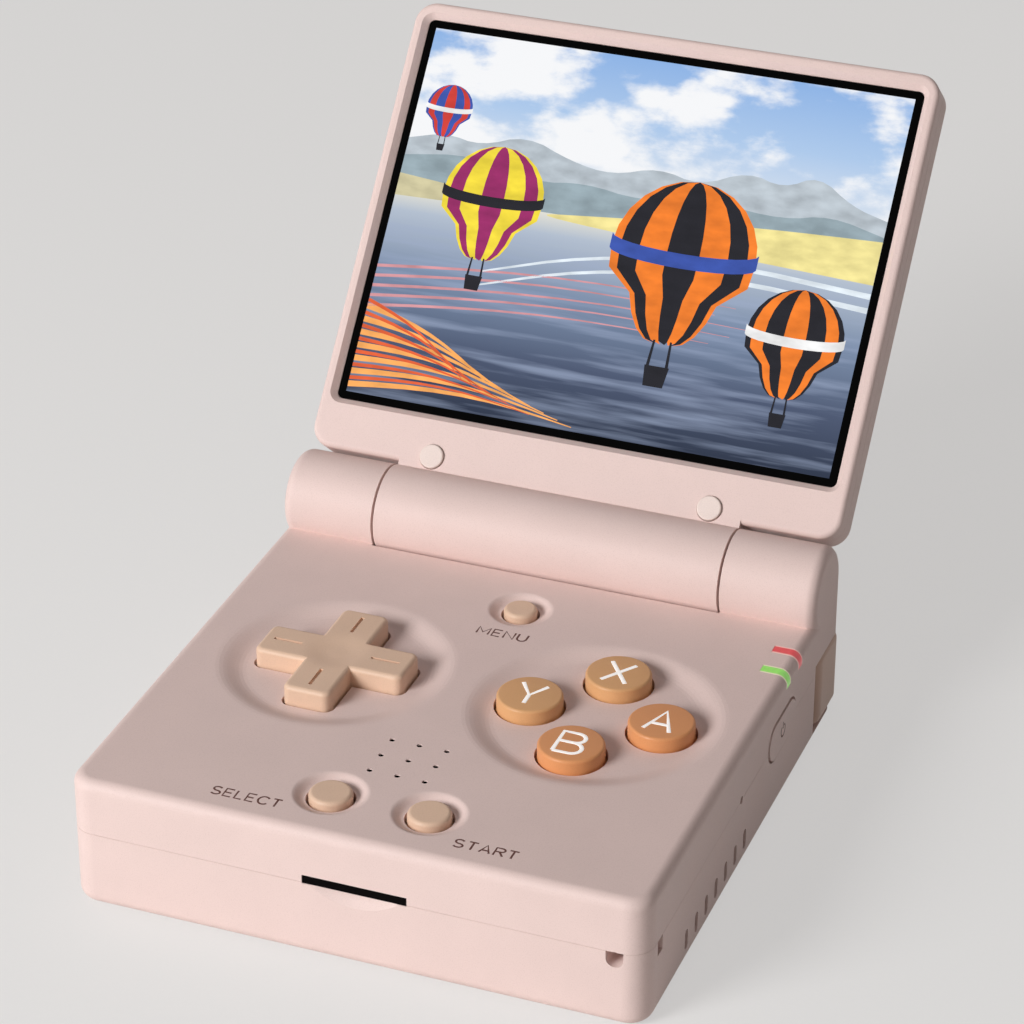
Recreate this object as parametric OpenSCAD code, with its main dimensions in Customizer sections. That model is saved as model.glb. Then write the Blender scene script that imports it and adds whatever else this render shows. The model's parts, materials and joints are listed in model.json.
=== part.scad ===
// Clamshell handheld game console with a folding display lid.
// Origin: centre of the flat underside. X to the right, Y to the rear, Z up. Millimetres.
// Distances named *_from_front are measured from the front face towards the rear.

/* [Case] */
// Width of the case
case_w = 85; // [82:0.5:92]
// Depth of the case, front face to the rear of the hinge barrel
case_d = 87.4; // [86:0.2:94]
// Height of the case, underside to button plate
case_h = 20.6; // [20:0.2:24]
// Height of the top case, seam to button plate
top_case_h = 8.5; // [8.2:0.1:8.7]
// Visible gap in the seams between the shell halves
seam_gap = 0.06; // [0.04:0.02:0.2]
// Radius of the upright corners
corner_r = 3.5; // [3:0.25:4.5]
// Radius of the lower edge
lower_edge_r = 2; // [1.5:0.25:2.5]
// Radius of the upper edge and of the outer ends of the hinge lugs
upper_edge_r = 1.6; // [1.2:0.1:2.6]
// Thickness of the side walls
side_wall = 1.8; // [1.5:0.1:2]
// Thickness of the floor and of the battery door
floor_t = 1.6; // [1.4:0.1:2]
// Thickness of the button plate
plate_t = 2.2; // [2:0.1:2.6]

/* [Hinge] */
// Radius of the hinge barrel and of the lugs beside it
barrel_r = 6.8; // [6.6:0.1:7.2]
// Width of a hinge lug
lug_w = 14.7; // [14:0.1:16]
// Height of the hinge axis above the button plate
hinge_rise = 3.2; // [3.2:0.1:3.8]
// Gap between the barrel and its channel and lugs
barrel_gap = 0.4; // [0.3:0.05:0.6]
// Wall under the channel that the barrel turns in
channel_wall = 1.6; // [1.2:0.1:2]
// Radius of the hollow pin that carries the cable
hollow_pin_r = 3.2; // [2.8:0.1:3.6]
// Bore radius of the hollow pin
hollow_pin_bore_r = 2.3; // [1.8:0.1:2.5]
// Radius of the cam unit in the barrel
cam_unit_r = 4.6; // [4.2:0.1:4.9]
// Length of the cam unit
cam_unit_len = 15; // [12:0.5:18]
// Radius of the cam unit's shaft
cam_shaft_r = 2.2; // [1.8:0.1:2.5]

/* [Lid] */
// Opening angle of the lid as modelled, 0 when shut
lid_open = 130.2; // [100:0.2:150]
// How far the shut lid ends behind the front face
lid_inset = 0.5; // [0:0.1:2]
// Hinge axis to the near edge of the lid above the lugs
lid_near = 7.4; // [7.2:0.1:8.4]
// Height of the lid's rim over the hinge axis, towards the screen side
rim_n = 1.2; // [1:0.1:1.4]
// Depth of the lid's back below the hinge axis
lid_back_n = 6.4; // [6:0.1:6.5]
// Depth of the seam between bezel and back cover below the hinge axis
lid_seam_n = 2; // [1.6:0.1:2.4]
// Corner radius of the lid
lid_corner_r = 3.4; // [3:0.1:4]
// Radius of the lid's edge on the screen side
lid_front_edge_r = 0.8; // [0.6:0.1:1]
// Radius of the lid's edge on the back
lid_back_edge_r = 1.2; // [1:0.1:2]
// Wall of the lid's back cover
lid_wall = 1.5; // [1.2:0.1:1.6]

/* [Display] */
// Side of the lid to the picture
bezel_side = 3.6; // [3.4:0.1:5]
// Far edge of the lid to the picture
bezel_far = 3.9; // [3.6:0.1:6]
// Hinge axis to the lower edge of the picture
picture_u = 16.7; // [16.6:0.1:18]
// Black border of the cover glass round the picture
glass_border = 1.2; // [0.8:0.1:1.3]
// Thickness of the cover glass
glass_t = 0.8; // [0.6:0.1:0.8]
// Depth of the glass below the lid's rim
glass_recess = 1; // [0.8:0.1:1.2]
// Thickness of the display panel
panel_t = 2.2; // [1.8:0.1:2.4]
// Radius of the two bumpers on the lid
bumper_r = 1.9; // [1.6:0.1:2.1]
// How far the bumpers stand proud
bumper_h = 0.5; // [0.3:0.1:1]
// Centre of a bumper from the end of the barrel
bumper_in = 5.1; // [4:0.1:12]
// Hinge axis to the bumpers
bumper_u = 8.8; // [8.7:0.1:10]

/* [Direction pad] */
// Centre of the pad from the left side
dpad_from_side = 23; // [22.6:0.1:24.1]
// Centre of the pad, as a share of the button plate's depth from the front
dpad_share = 0.57; // [0.54:0.001:0.58]
// Tip to tip length of the pad
dpad_span = 23; // [21:0.5:24]
// Width of its arms
dpad_arm_w = 7.3; // [6.5:0.1:8]
// Height of the pad over the button plate
dpad_h = 1.9; // [1.4:0.1:2.1]
// Radius of the pad's dish
dpad_dish_r = 17.6; // [16.5:0.1:18]
// Clearance round the pad and the buttons in the plate
button_gap = 0.4; // [0.35:0.05:0.6]
// Radius of the ball that the pad rocks on
pivot_r = 1.6; // [1.4:0.1:1.7]
// Rocking angle of the pad each way
dpad_rock = 3; // [2:0.5:3]

/* [Face buttons] */
// Centre of the four buttons from the right side
abxy_from_side = 22.4; // [21.9:0.1:22.6]
// Centre of the four buttons, as a share of the button plate's depth from the front
abxy_share = 0.574; // [0.55:0.001:0.58]
// Distance of each button from that centre
abxy_reach = 9.9; // [9.6:0.1:10.4]
// Radius of a face button
abxy_r = 4.8; // [4.5:0.1:5.2]
// Height of a face button over the button plate
abxy_h = 1.1; // [0.9:0.1:2.3]
// Radius of the dish
abxy_dish_r = 19; // [18:0.1:19.2]
// Depth of the two large dishes
dish_depth = 1; // [0.8:0.1:1.3]
// Width of the soft edge of the two large dishes
dish_edge = 4.5; // [3:0.1:5]

/* [Small buttons] */
// Radius of the menu button
menu_r = 2.5; // [2.2:0.1:2.8]
// Radius of the dish of the menu button
menu_dish_r = 5; // [4.6:0.1:5.4]
// Radius of the select and start buttons
small_r = 3.1; // [3:0.1:3.3]
// Radius of their dishes
small_dish_r = 5.5; // [5:0.1:5.6]
// Depth of the small dishes
small_dish_depth = 0.9; // [0.5:0.1:1.1]
// Width of the soft edge of the small dishes
small_dish_edge = 1.8; // [1:0.1:1.9]
// Height of the small buttons over the button plate
small_h = 0.3; // [0.2:0.1:0.9]

/* [Shoulder buttons] */
// Height of the shoulder buttons' lower edge
shoulder_z0 = 1.4; // [1.3:0.1:1.8]
// Upper edge of the shoulder buttons below the button plate
shoulder_drop = 7.4; // [7:0.1:8]
// Front edge of the outer buttons from the rear face of the case
shoulder_depth = 10.4; // [10:0.2:11]
// How far the shoulder buttons stand proud of the rear face
shoulder_proud = 2; // [1.2:0.1:2.2]
// Share of the outer button in the width of both
outer_share = 0.522; // [0.48:0.002:0.56]
// Radius of the steel pins that they turn on
shoulder_pin_r = 0.8; // [0.6:0.1:1]
// Turning angle of the shoulder buttons
shoulder_turn = 4; // [3:0.5:4]

/* [Side buttons] */
// Length of the power button and of the volume rocker
side_button_l = 12.5; // [12:0.5:15]
// Height of the power button and of the volume rocker
side_button_h = 5.6; // [5:0.1:6]
// Their centre from the rear face
side_button_from_rear = 28; // [27.8:0.2:29]
// Travel of the power button
power_travel = 0.5; // [0.3:0.1:0.5]

/* [Openings] */
// Radius of the holes of the speaker grille
grille_r = 0.42; // [0.3:0.02:0.6]
// Pitch of the holes of the speaker grille
grille_pitch = 4.1; // [3:0.1:4.4]
// Centre of the grille from the front face
grille_from_front = 21; // [20.4:0.1:21.4]
// Width of the card slot
card_slot_w = 15.4; // [13:0.2:16]
// Height of the card slot
card_slot_h = 1.4; // [1.2:0.1:1.5]
// Centre of the headphone socket from the front face
jack_from_front = 34; // [33:0.5:35]
// Pinhole of the reset switch from the front face
reset_from_front = 40.4; // [39.4:0.2:41]
// Front vent slot from the front face
vent_from_front = 16.7; // [16:0.1:17.5]
// Number of vent slots in each side
vent_count = 7; // [3:1:7]
// Pitch of the vent slots
vent_pitch = 4.3; // [3.5:0.1:4.5]
// Width of a vent slot
vent_w = 1.3; // [0.8:0.1:1.8]
// Radius of the plug hole of the headphone socket
jack_bore_r = 1.8; // [1.76:0.02:1.9]

/* [Inside] */
// Room beside the battery bay, inside the case
bay_side = 12.1; // [12:0.1:15]
// Room behind the battery bay
bay_back = 9; // [9:0.2:14]
// Thickness of the main board
board_t = 1.2; // [1:0.1:1.6]
// Underside of the button plate to the underside of the main board
board_drop = 5.5; // [5.2:0.1:5.6]
// Radius of the speaker
speaker_r = 8; // [7:0.1:8.2]

/* [Hidden] */
$fn = 48;
eps = 0.01;             // overshoot of cuts
over = 5;               // overshoot of cuts that leave the part
fit_gap = 0.05;         // radial clearance of pins, shafts and the ball
seat_gap = 0.3;         // clearance between a moving piece and its stop or seat
touch_gap = 0.1;        // clearance between a rubber dome and its button
slide_gap = 0.15;       // clearance round pieces that are dropped into a pocket

// Colours
SHELL = [0.91, 0.83, 0.80];
TAN = [0.82, 0.68, 0.56];
ORANGE_TAN = [0.85, 0.62, 0.42];
STEEL = [0.75, 0.76, 0.78];
RUBBER = [0.80, 0.80, 0.78];
BLACK = [0.06, 0.06, 0.07];
BOARD = [0.10, 0.35, 0.22];

// Main planes
front_y = -case_d / 2;
rear_y = case_d / 2;
side_x = case_w / 2;
seam_z = case_h - top_case_h;
hinge_y = rear_y - barrel_r;
hinge_z = case_h + hinge_rise;
plate_z = case_h - plate_t;          // underside of the button plate
board_z = plate_z - board_drop;
board_top = board_z + board_t;
lug_x = side_x - lug_w;              // inner face of the lugs
barrel_x = lug_x - barrel_gap;       // end face of the barrel
channel_r = barrel_r + barrel_gap;
inner_x = side_x - side_wall;        // inside of the side walls

// Cavity of the case: a wide front part and a narrow rear part below the hinge
cavity_rear_y = hinge_y - channel_r - 0.8;
plate_d = cavity_rear_y - front_y;   // depth of the button plate
port_bay_x = 12.6;                   // half width of the bay of the rear ports
pocket_x = port_bay_x + 1;           // inner end of the shoulder buttons' pockets
pocket_gap = 0.35;                   // clearance round the shoulder buttons
pocket_in_gap = 1;                   // gap at the inner end, for the flex of the switches
shoulder_z1 = case_h - shoulder_drop;
shoulder_span = side_x - pocket_x - pocket_in_gap - 2 * pocket_gap;
outer_shoulder_w = outer_share * shoulder_span;
inner_shoulder_w = shoulder_span - outer_shoulder_w;
shoulder_pin_in = 2.2;               // pin axis from a button's inner end
pocket_front_gap = seat_gap + (outer_shoulder_w - shoulder_pin_in) * sin(shoulder_turn);
pocket_y = rear_y - shoulder_depth - pocket_front_gap;
rear_wall_top = hinge_z - 5.6;       // top of the rear wall behind the barrel
jack_wall = 1.15;                    // wall of the headphone socket's nose

// Screws of the case
post_x = side_x - 6.5;
post_front = 8;                      // front posts from the front face
post_rear = 3.4;                     // rear posts from the rear of the cavity
post_gap = 0.5;                      // room round a post in the main board
post_r = 2.8;
screw_r = 1;
screw_head_r = 1.9;
screw_head_h = 1.4;
screw_recess = 0.35;
screw_end_z = plate_z - 1.4;
cross_l = 2;                         // cross recess of a screw
cross_w = 0.4;
cross_depth = 0.5;
post_in = 5;                         // the rear posts stand further in
front_posts = [for (s = [-1, 1]) [s * post_x, front_y + post_front]];
rear_posts = [for (s = [-1, 1]) [s * (post_x - post_in), cavity_rear_y - post_rear]];
posts = concat(front_posts, rear_posts);

// Battery bay
bay_gap = 0.4;
bay_wall = 1.2;
bay_roof_t = 1;
bay_screw_l = 5.5;                   // part of the bay in front of the battery
below_board = 3.3;                   // room between the bay's roof and the board
bay_w = 2 * (inner_x - bay_side - bay_wall);
bay_front = front_y + post_front + 0.1;
bay_rear = cavity_rear_y - bay_back - bay_wall;
bay_l = bay_rear - bay_front;
bay_top = board_z - below_board - bay_roof_t;
battery_w = bay_w - 2 * bay_gap;
battery_l = bay_l - bay_screw_l - 2 * bay_gap;
battery_t = bay_top - floor_t - 2 * seat_gap;
battery_y = bay_rear - bay_gap - battery_l / 2;
battery_z = floor_t + seat_gap;
battery_r = 2;
door_corner_r = 0.6;
door_screw_y = bay_front + 3.2;
door_screw_head_h = 0.7;
door_boss_r = 2.4;
door_tab_x = 16;
door_tab_w = 6;
door_tab_t = 1;
door_tab_l = 3;                      // part of a tab within the door
rest_x = 20;                         // pillars on the bay's roof that carry the board
rest_in = 6;
rest_r = 1.8;

// Direction pad
dpad_c = [dpad_from_side - side_x, front_y + dpad_share * plate_d];
pivot_z = board_top + pivot_r + fit_gap;
dpad_top = case_h + dpad_h;
dpad_edge_r = 0.7;
dpad_corner_r = 1.2;
dpad_flange = 1.1;                   // overhang of the pad's flange
dpad_lift = (dpad_span / 2 + dpad_arm_w / 2 + 2 * dpad_flange) * sin(dpad_rock);
dpad_flange_t = 1.1;
dpad_flange_z = plate_z - seat_gap - dpad_lift - dpad_flange_t;
dpad_flange_r = 1.6;
dpad_boss_r = 3;
dpad_hollow_r = 5.4;                 // radius of the thumb hollow in the middle
dpad_hollow = 0.35;                  // its depth
groove_in = 5.4;                     // grooves on the arms, from the middle
groove_l = 4.4;
groove_w = 0.5;
groove_depth = 0.35;

// Face buttons
abxy_c = [side_x - abxy_from_side, front_y + abxy_share * plate_d];
abxy_top = case_h + abxy_h;
abxy_places = [for (a = [0:90:270]) abxy_c + abxy_reach * [cos(a), sin(a)]];   // A, X, Y, B
flange_t = 1.1;
flange_w = 1.1;                      // overhang of a button's flange
flange_z = plate_z - seat_gap - flange_t;
button_edge_r = 0.9;

// Small buttons
menu_x = 0.1;
menu_from_rear = 22.8;
select_x = -6.9;
select_from_front = 9.8;
start_x = 7.6;
start_from_front = 10;
menu_c = [menu_x, rear_y - menu_from_rear];
select_c = [select_x, front_y + select_from_front];
start_c = [start_x, front_y + start_from_front];
small_edge_r = 0.6;

// Rubber membranes
sheet_t = 0.8;
sheet_rim = 1.6;                     // sheet of the menu button beyond the button
pivot_hole_gap = 0.6;
dpad_dome_r = 2.6;
dpad_dome_in = 3.2;                  // domes from the tips of the pad
dpad_sheet_rim = 1;
abxy_sheet_in = 0.4;
abxy_dome_in = 1;
small_dome_in = 0.7;
menu_dome_in = 0.5;
small_sheet = [7, 6.4];              // beyond the centres, and across
small_sheet_r = 1.5;

// Shoulder buttons
shoulder_shell = 1.5;
shoulder_corner_r = 3;
shoulder_edge_r = 1.1;
shoulder_rear = rear_y + shoulder_proud;
outer_x0 = side_x - outer_shoulder_w;
inner_x1 = outer_x0 - 2 * pocket_gap;
inner_x0 = inner_x1 - inner_shoulder_w;
shoulder_pin_y = rear_y - 5.2;
shoulder_rib_in = 4.5;               // pressing rib from a button's outer end
shoulder_rib_t = 1.2;
shoulder_switch_x = [side_x - shoulder_rib_in, inner_x1 - shoulder_rib_in];
switch_size = 4;
switch_h = 1.6;
plunger_r = 0.9;
plunger_h = 0.4;
shoulder_pins_x = [outer_x0 + shoulder_pin_in, inner_x0 + shoulder_pin_in];
knuckle_r = shoulder_pin_r + 1.1;
pin_seat = 1.6;                      // length of a pin in the top case
pin_end_gap = 0.2;
pin_top = shoulder_z1 + pocket_gap + pin_seat;
pin_bottom = shoulder_z0 - pocket_gap + pin_end_gap;
pin_boss_r = shoulder_pin_r + 0.9;
pin_boss_h = 1.4;

// Side buttons
side_button_z = seam_z + 0.3;
side_button_y = rear_y - side_button_from_rear;
side_cap_proud = 0.15;
side_flange_t = 1.2;
side_flange_w = 1;
side_switch_x = inner_x - 2.4;       // plunger tip of the side switches
side_switch_z = board_z - switch_size / 2;
rocker_reach = 4.4;                  // switches of the rocker from its middle
rocker_flange_l = side_button_l - 4;
nub_r = 1;

board_gap = 1.2;                     // main board to the walls
side_room = 3.4;                     // room for the side buttons in the main board

// Shield over the processor, on the board behind the direction pad
shield_w = 18;
shield_l = 12;
shield_h = 1.6;
shield_r = 0.8;
shield_c = [menu_c.x - menu_r - sheet_rim - 1 - shield_w / 2, cavity_rear_y - 2.5 - shield_l / 2];

// Lights
light_x = side_x - 4.15;
light_w = 1.9;
light_leg_x = side_x - 7;
light_t = 1.3;
lamp_h = 0.7;
light_gap = 0.06;
lamp_w = 1.6;
charge_from_rear = 19.9;             // red window
power_from_rear = 25.6;              // green window
charge_y = rear_y - charge_from_rear;
power_y = rear_y - power_from_rear;

// Ports
port_z = board_z - 1.7;
usb_c = [-6.5, 9, 3.2];              // x, width, height
hdmi_c = [6.2, 11, 3.2];
port_l = 7.4;
port_recess = 0.4;
port_y = rear_y - port_recess - port_l;
port_back = 1;                       // closed rear end of a port's shell
port_shell = 0.3;
tongue_in = 0.8;
usb_tongue = [6.6, 0.7];
hdmi_tongue = [8, 0.6];
hdmi_chamfer = 1.4;
jack_y = front_y + jack_from_front;
jack_w = 6;
jack_h = 5.2;
jack_z = board_z - jack_h / 2;
jack_l = 11.6;
jack_nose_in = 0.3;                  // nose behind the outer face
jack_nose_wall = 0.9;
reset_y = front_y + reset_from_front;
reset_r = 0.6;
card_x = 0.5;
card_slot_below = 0.2;                // part of the slot in the bottom case
card_z = seam_z - card_slot_below + card_slot_h / 2;
card_socket_size = [14, 14.5, 1.6];
card_size = [11.4, 13.5, 1];         // room for the card in the socket
scoop_r = 10.6;                      // fingernail scoop below the card slot
scoop_depth = 2.4;
scoop_rise = 7.6;
strap_x = side_x - 4.6;
strap_from_front = 5.3;
strap_w = 2.5;
strap_h = 2.4;
strap_side_w = 2;                  // its opening in the side
strap_wall = 0.7;
strap_block_w = 7.2;
strap_block_l = 6;
strap_block_h = 1.6;
vent_z = 4.2;
vent_h = 3.2;
mesh_t = 0.2;
speaker_h = 3;
magnet_h = 0.6;                      // rear of the speaker's magnet

// Lid, in its own frame: Y away from the hinge axis, Z out of the screen
lid_len = hinge_y - front_y - lid_inset;
picture_w = case_w - 2 * bezel_side;
picture_h = lid_len - picture_u - bezel_far;
lid_c = (lid_len + lid_near) / 2;
lid_l = lid_len - lid_near;
neck_u = lid_near + lid_corner_r;
glass_w = picture_w + 2 * glass_border;
glass_h = picture_h + 2 * glass_border;
picture_c = picture_u + picture_h / 2;
glass_n = rim_n - glass_recess;      // outer face of the glass
panel_n = glass_n - glass_t;         // face of the panel
glass_corner_r = 1;
bezel_flare = 0.9;                   // width of the slope round the glass
panel_gap = 0.1;
lid_rim = lid_wall + 1;              // wall of the back cover at its sides
barrel_bore_r = barrel_r - 1.8;
pin_in_barrel = 7.4;
pin_in_lug = side_x - 2.3;           // outer end of the seats in the lugs
cam_end = 1.9;                       // closed end of the cam unit
cam_neck = 2;                        // round part of the cam shaft inside the lug
cam_key = 5;                         // square end of the cam shaft
flex_u = barrel_bore_r - 3;          // its end in the barrel
flex_in = 8;                         // its length behind the panel
flex_x = -8;
flex_w = 10;
flex_t = 0.2;
bumper_seat = 0.5;
lid_screw_r = 0.9;
lid_screw_head_r = 1.5;
lid_screw_head_h = 0.8;
lid_boss_r = 2.2;
lid_screw_end = 1.4;                 // wall below the screw holes
magnet_x = side_x - 9.5;
magnet_r = 2;
magnet_t = 1.5;

// ---------- helpers ----------

// Half section of a block's rim: X runs to the outer face, Y up, outer corners rounded
module edge_profile(run, h, rb, rt) {
    difference() {
        square([run, h]);
        if (rb > 0) difference() {
            translate([run - rb, -eps]) square([rb + eps, rb + eps]);
            translate([run - rb, rb]) circle(rb);
        }
        if (rt > 0) difference() {
            translate([run - rt, h - rt]) square([rt + eps, rt + eps]);
            translate([run - rt, h - rt]) circle(rt);
        }
    }
}

// Block centred in X and Y with upright corners rv, lower edge rb and upper edge rt
module rounded_block(size, rv, rb = 0, rt = 0) {
    swept_block(size.x - 2 * rv, size.y - 2 * rv, size.z) edge_profile(rv, size.z, rb, rt);
}

// Block sx by sy by h, centred in X and Y, with the drawn section all the way round it
module swept_block(sx, sy, h) {
    translate([-sx / 2, -sy / 2, 0]) cube([sx, sy, h]);
    for (q = [[1, 1, 0], [-1, 1, 90], [-1, -1, 180], [1, -1, 270]])
        translate([q.x * sx / 2, q.y * sy / 2, 0]) rotate([0, 0, q.z])
            rotate_extrude(angle = 90) children();
    for (a = [0, 180]) {
        rotate([0, 0, a]) translate([sx / 2, sy / 2, 0]) rotate([90, 0, 0])
            linear_extrude(sy) children();
        rotate([0, 0, a + 90]) translate([sy / 2, sx / 2, 0]) rotate([90, 0, 0])
            linear_extrude(sx) children();
    }
}

// Rectangle with round corners, centred
module rounded_rect(w, d, r) {
    square([w - 2 * r, d], center = true);
    square([w, d - 2 * r], center = true);
    for (sx = [-1, 1], sy = [-1, 1]) translate([sx * (w / 2 - r), sy * (d / 2 - r)]) circle(r);
}

// Rectangle whose short ends are half circles, centred, long along X
module stadium(l, h) {
    square([l - h, h], center = true);
    for (s = [-1, 1]) translate([s * (l - h) / 2, 0]) circle(h / 2);
}

// Cutter of a dish with a soft edge, its rim on the plane z = 0
module soft_dish(r, edge, depth) {
    steps = 8;
    slope = [for (i = [0:steps]) [r - edge * i / steps, -depth * (1 - cos(180 * i / steps)) / 2]];
    rotate_extrude() polygon(concat([[0, over], [r, over]], slope, [[0, -depth]]));
}

module both_sides() {
    children();
    mirror([1, 0, 0]) children();
}

// Turns a drawing in the YZ plane into a bar from x0 to x1
module along_x(x0, x1) {
    translate([x0, 0, 0]) rotate([90, 0, 90]) linear_extrude(x1 - x0) children();
}

module rod_x(r, x0, x1) {
    translate([x0, 0, 0]) rotate([0, 90, 0]) cylinder(r = r, h = x1 - x0);
}

module at_hinge() {
    translate([0, hinge_y, hinge_z]) children();
}

// Puts the lid's own frame where the lid stands
module in_lid() {
    at_hinge() rotate([180 - lid_open, 0, 0]) children();
}

// ---------- case ----------

// Hinge lug on the right: a round bar with a rounded outer end on a block behind it
module lug() {
    at_hinge() translate([lug_x, 0, 0]) rotate([0, 90, 0]) rotate([0, 0, 90])
        rotate_extrude(angle = 270) edge_profile(barrel_r, side_x - lug_x, 0, upper_edge_r);
    translate([lug_x, hinge_y, seam_z + seam_gap / 2])
        linear_extrude(hinge_z - seam_z - seam_gap / 2)
            edge_profile(side_x - lug_x, rear_y - hinge_y, 0, upper_edge_r);
}

// Space inside the case between two heights
module case_cavity(z0, z1) {
    front_l = cavity_rear_y - front_y - side_wall;
    translate([0, front_y + side_wall + front_l / 2, z0])
        linear_extrude(z1 - z0) rounded_rect(2 * inner_x, front_l, corner_r - side_wall);
    translate([-port_bay_x, cavity_rear_y - over, z0])
        cube([2 * port_bay_x, rear_y - side_wall - cavity_rear_y + over, z1 - z0]);
}

// Pockets of the shoulder buttons, open to the rear and the side
module shoulder_pockets(z0, z1) {
    both_sides() translate([pocket_x, pocket_y, z0])
        cube([side_x - pocket_x + over, rear_y - pocket_y + over, z1 - z0]);
}

// What passes through the walls at the seam
module side_openings() {
    // Power button on the right and volume rocker on the left
    both_sides() translate([inner_x - over, side_button_y, side_button_z])
        rotate([90, 0, 90]) linear_extrude(2 * over)
            stadium(side_button_l + 2 * button_gap, side_button_h + 2 * button_gap);
    // Pinhole of the reset switch
    translate([inner_x - over, reset_y, seam_z]) rotate([0, 90, 0])
        cylinder(r = reset_r, h = 2 * over);
    // Headphone socket
    translate([-side_x - over, jack_y, jack_z]) rotate([0, 90, 0])
        cylinder(r = jack_bore_r + jack_wall, h = over + side_wall + 1);
    // Card slot with its finger notch
    translate([card_x - card_slot_w / 2, front_y - over, card_z - card_slot_h / 2])
        cube([card_slot_w, over + side_wall + 1, card_slot_h]);
    // Rear ports
    translate([usb_c.x, rear_y + over, port_z]) rotate([90, 0, 0]) linear_extrude(2 * over + 2)
        stadium(usb_c.y + 2 * slide_gap, usb_c.z + 2 * slide_gap);
    translate([hdmi_c.x, rear_y + over, port_z]) rotate([90, 0, 0]) linear_extrude(2 * over + 2)
        hdmi_outline(slide_gap);
    // Strap eyelet in the front right corner
    translate([strap_x, front_y - over, seam_z]) rotate([-90, 0, 0])
        linear_extrude(over + strap_from_front + strap_side_w / 2) strap_outline();
    translate([strap_x - strap_w / 2, front_y + strap_from_front - strap_side_w / 2, seam_z - strap_h])
        cube([side_x - strap_x + over, strap_side_w, strap_h]);
}

// Flat above, half round below
module strap_outline() {
    translate([-strap_w / 2, 0]) square([strap_w, strap_h - strap_w / 2]);
    translate([0, strap_h - strap_w / 2]) circle(strap_w / 2);
}

// Shallow scoop below the card slot
module finger_notch() {
    ball_r = (scoop_r * scoop_r + scoop_depth * scoop_depth) / (2 * scoop_depth);
    intersection() {
        translate([card_x, front_y + scoop_depth - ball_r, card_z + scoop_rise]) sphere(ball_r);
        translate([card_x - scoop_r, front_y - over, 0])
            cube([2 * scoop_r, 2 * over, card_z - card_slot_h / 2 + eps]);
    }
}

module top_case() color(SHELL) difference() {
    union() {
        difference() {
            union() {
                translate([0, 0, seam_z + seam_gap / 2])
                    rounded_block([case_w, case_d, case_h - seam_z - seam_gap / 2],
                                  corner_r, 0, upper_edge_r);
                both_sides() lug();
            }
            difference() {
                case_cavity(seam_z - eps, plate_z);
                at_hinge() rod_x(channel_r + channel_wall, -side_x, side_x);
            }
            shoulder_pockets(0, shoulder_z1 + pocket_gap);
        }
        for (p = posts) translate([p.x, p.y, seam_z + seam_gap / 2])
            cylinder(r = post_r, h = plate_z - seam_z);
        strap_block(seam_z + seam_gap / 2, seam_z + strap_block_h);
    }
    // Channel of the hinge barrel, open to the rear above the rear wall
    at_hinge() rod_x(channel_r, -lug_x, lug_x);
    translate([-lug_x, hinge_y, rear_wall_top]) cube([2 * lug_x, barrel_r + over, over]);
    // Seats of the hinge pins in the lugs
    at_hinge() rod_x(hollow_pin_r + fit_gap, -pin_in_lug, -lug_x + eps);
    at_hinge() rod_x(cam_shaft_r + fit_gap, lug_x - eps, lug_x + cam_neck + eps);
    at_hinge() translate([lug_x + cam_neck, -cam_key / 2, -cam_key / 2])
        cube([pin_in_lug - lug_x - cam_neck, cam_key, cam_key]);
    // Dishes and button holes
    translate([dpad_c.x, dpad_c.y, case_h]) soft_dish(dpad_dish_r, dish_edge, dish_depth);
    translate([abxy_c.x, abxy_c.y, case_h]) soft_dish(abxy_dish_r, dish_edge, dish_depth);
    translate([menu_c.x, menu_c.y, case_h])
        soft_dish(menu_dish_r, small_dish_edge, small_dish_depth);
    for (c = [select_c, start_c]) translate([c.x, c.y, case_h])
        soft_dish(small_dish_r, small_dish_edge, small_dish_depth);
    translate([dpad_c.x, dpad_c.y, plate_z - eps]) linear_extrude(plate_t + over)
        cross_outline(dpad_span + 2 * button_gap, dpad_arm_w + 2 * button_gap,
                      dpad_corner_r + button_gap);
    for (c = abxy_places) button_hole(c, abxy_r);
    button_hole(menu_c, menu_r);
    button_hole(select_c, small_r);
    button_hole(start_c, small_r);
    // Speaker grille
    for (i = [-1:1], j = [-1:1])
        translate([i * grille_pitch, front_y + grille_from_front + j * grille_pitch, plate_z - eps])
            cylinder(r = grille_r, h = plate_t + 2 * eps);
    // Windows of the light pipes
    for (y = [charge_y, power_y]) light_slot(y);
    // Screws and shoulder pins
    for (p = posts) translate([p.x, p.y, 0]) cylinder(r = screw_r + fit_gap, h = screw_end_z + seat_gap);
    both_sides() for (x = shoulder_pins_x) translate([x, shoulder_pin_y, 0])
        cylinder(r = shoulder_pin_r + fit_gap, h = pin_top);
    side_openings();
}

module button_hole(c, r) {
    translate([c.x, c.y, plate_z - eps]) cylinder(r = r + button_gap, h = plate_t + over);
}

module cross_outline(span, w, r) {
    rounded_rect(span, w, r);
    rounded_rect(w, span, r);
}

// Block in the corner that the strap passes round
module strap_block(z0, z1) {
    translate([inner_x - strap_block_w, front_y + side_wall - strap_wall, z0])
        cube([strap_block_w + eps, strap_block_l, z1 - z0]);
}

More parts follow.
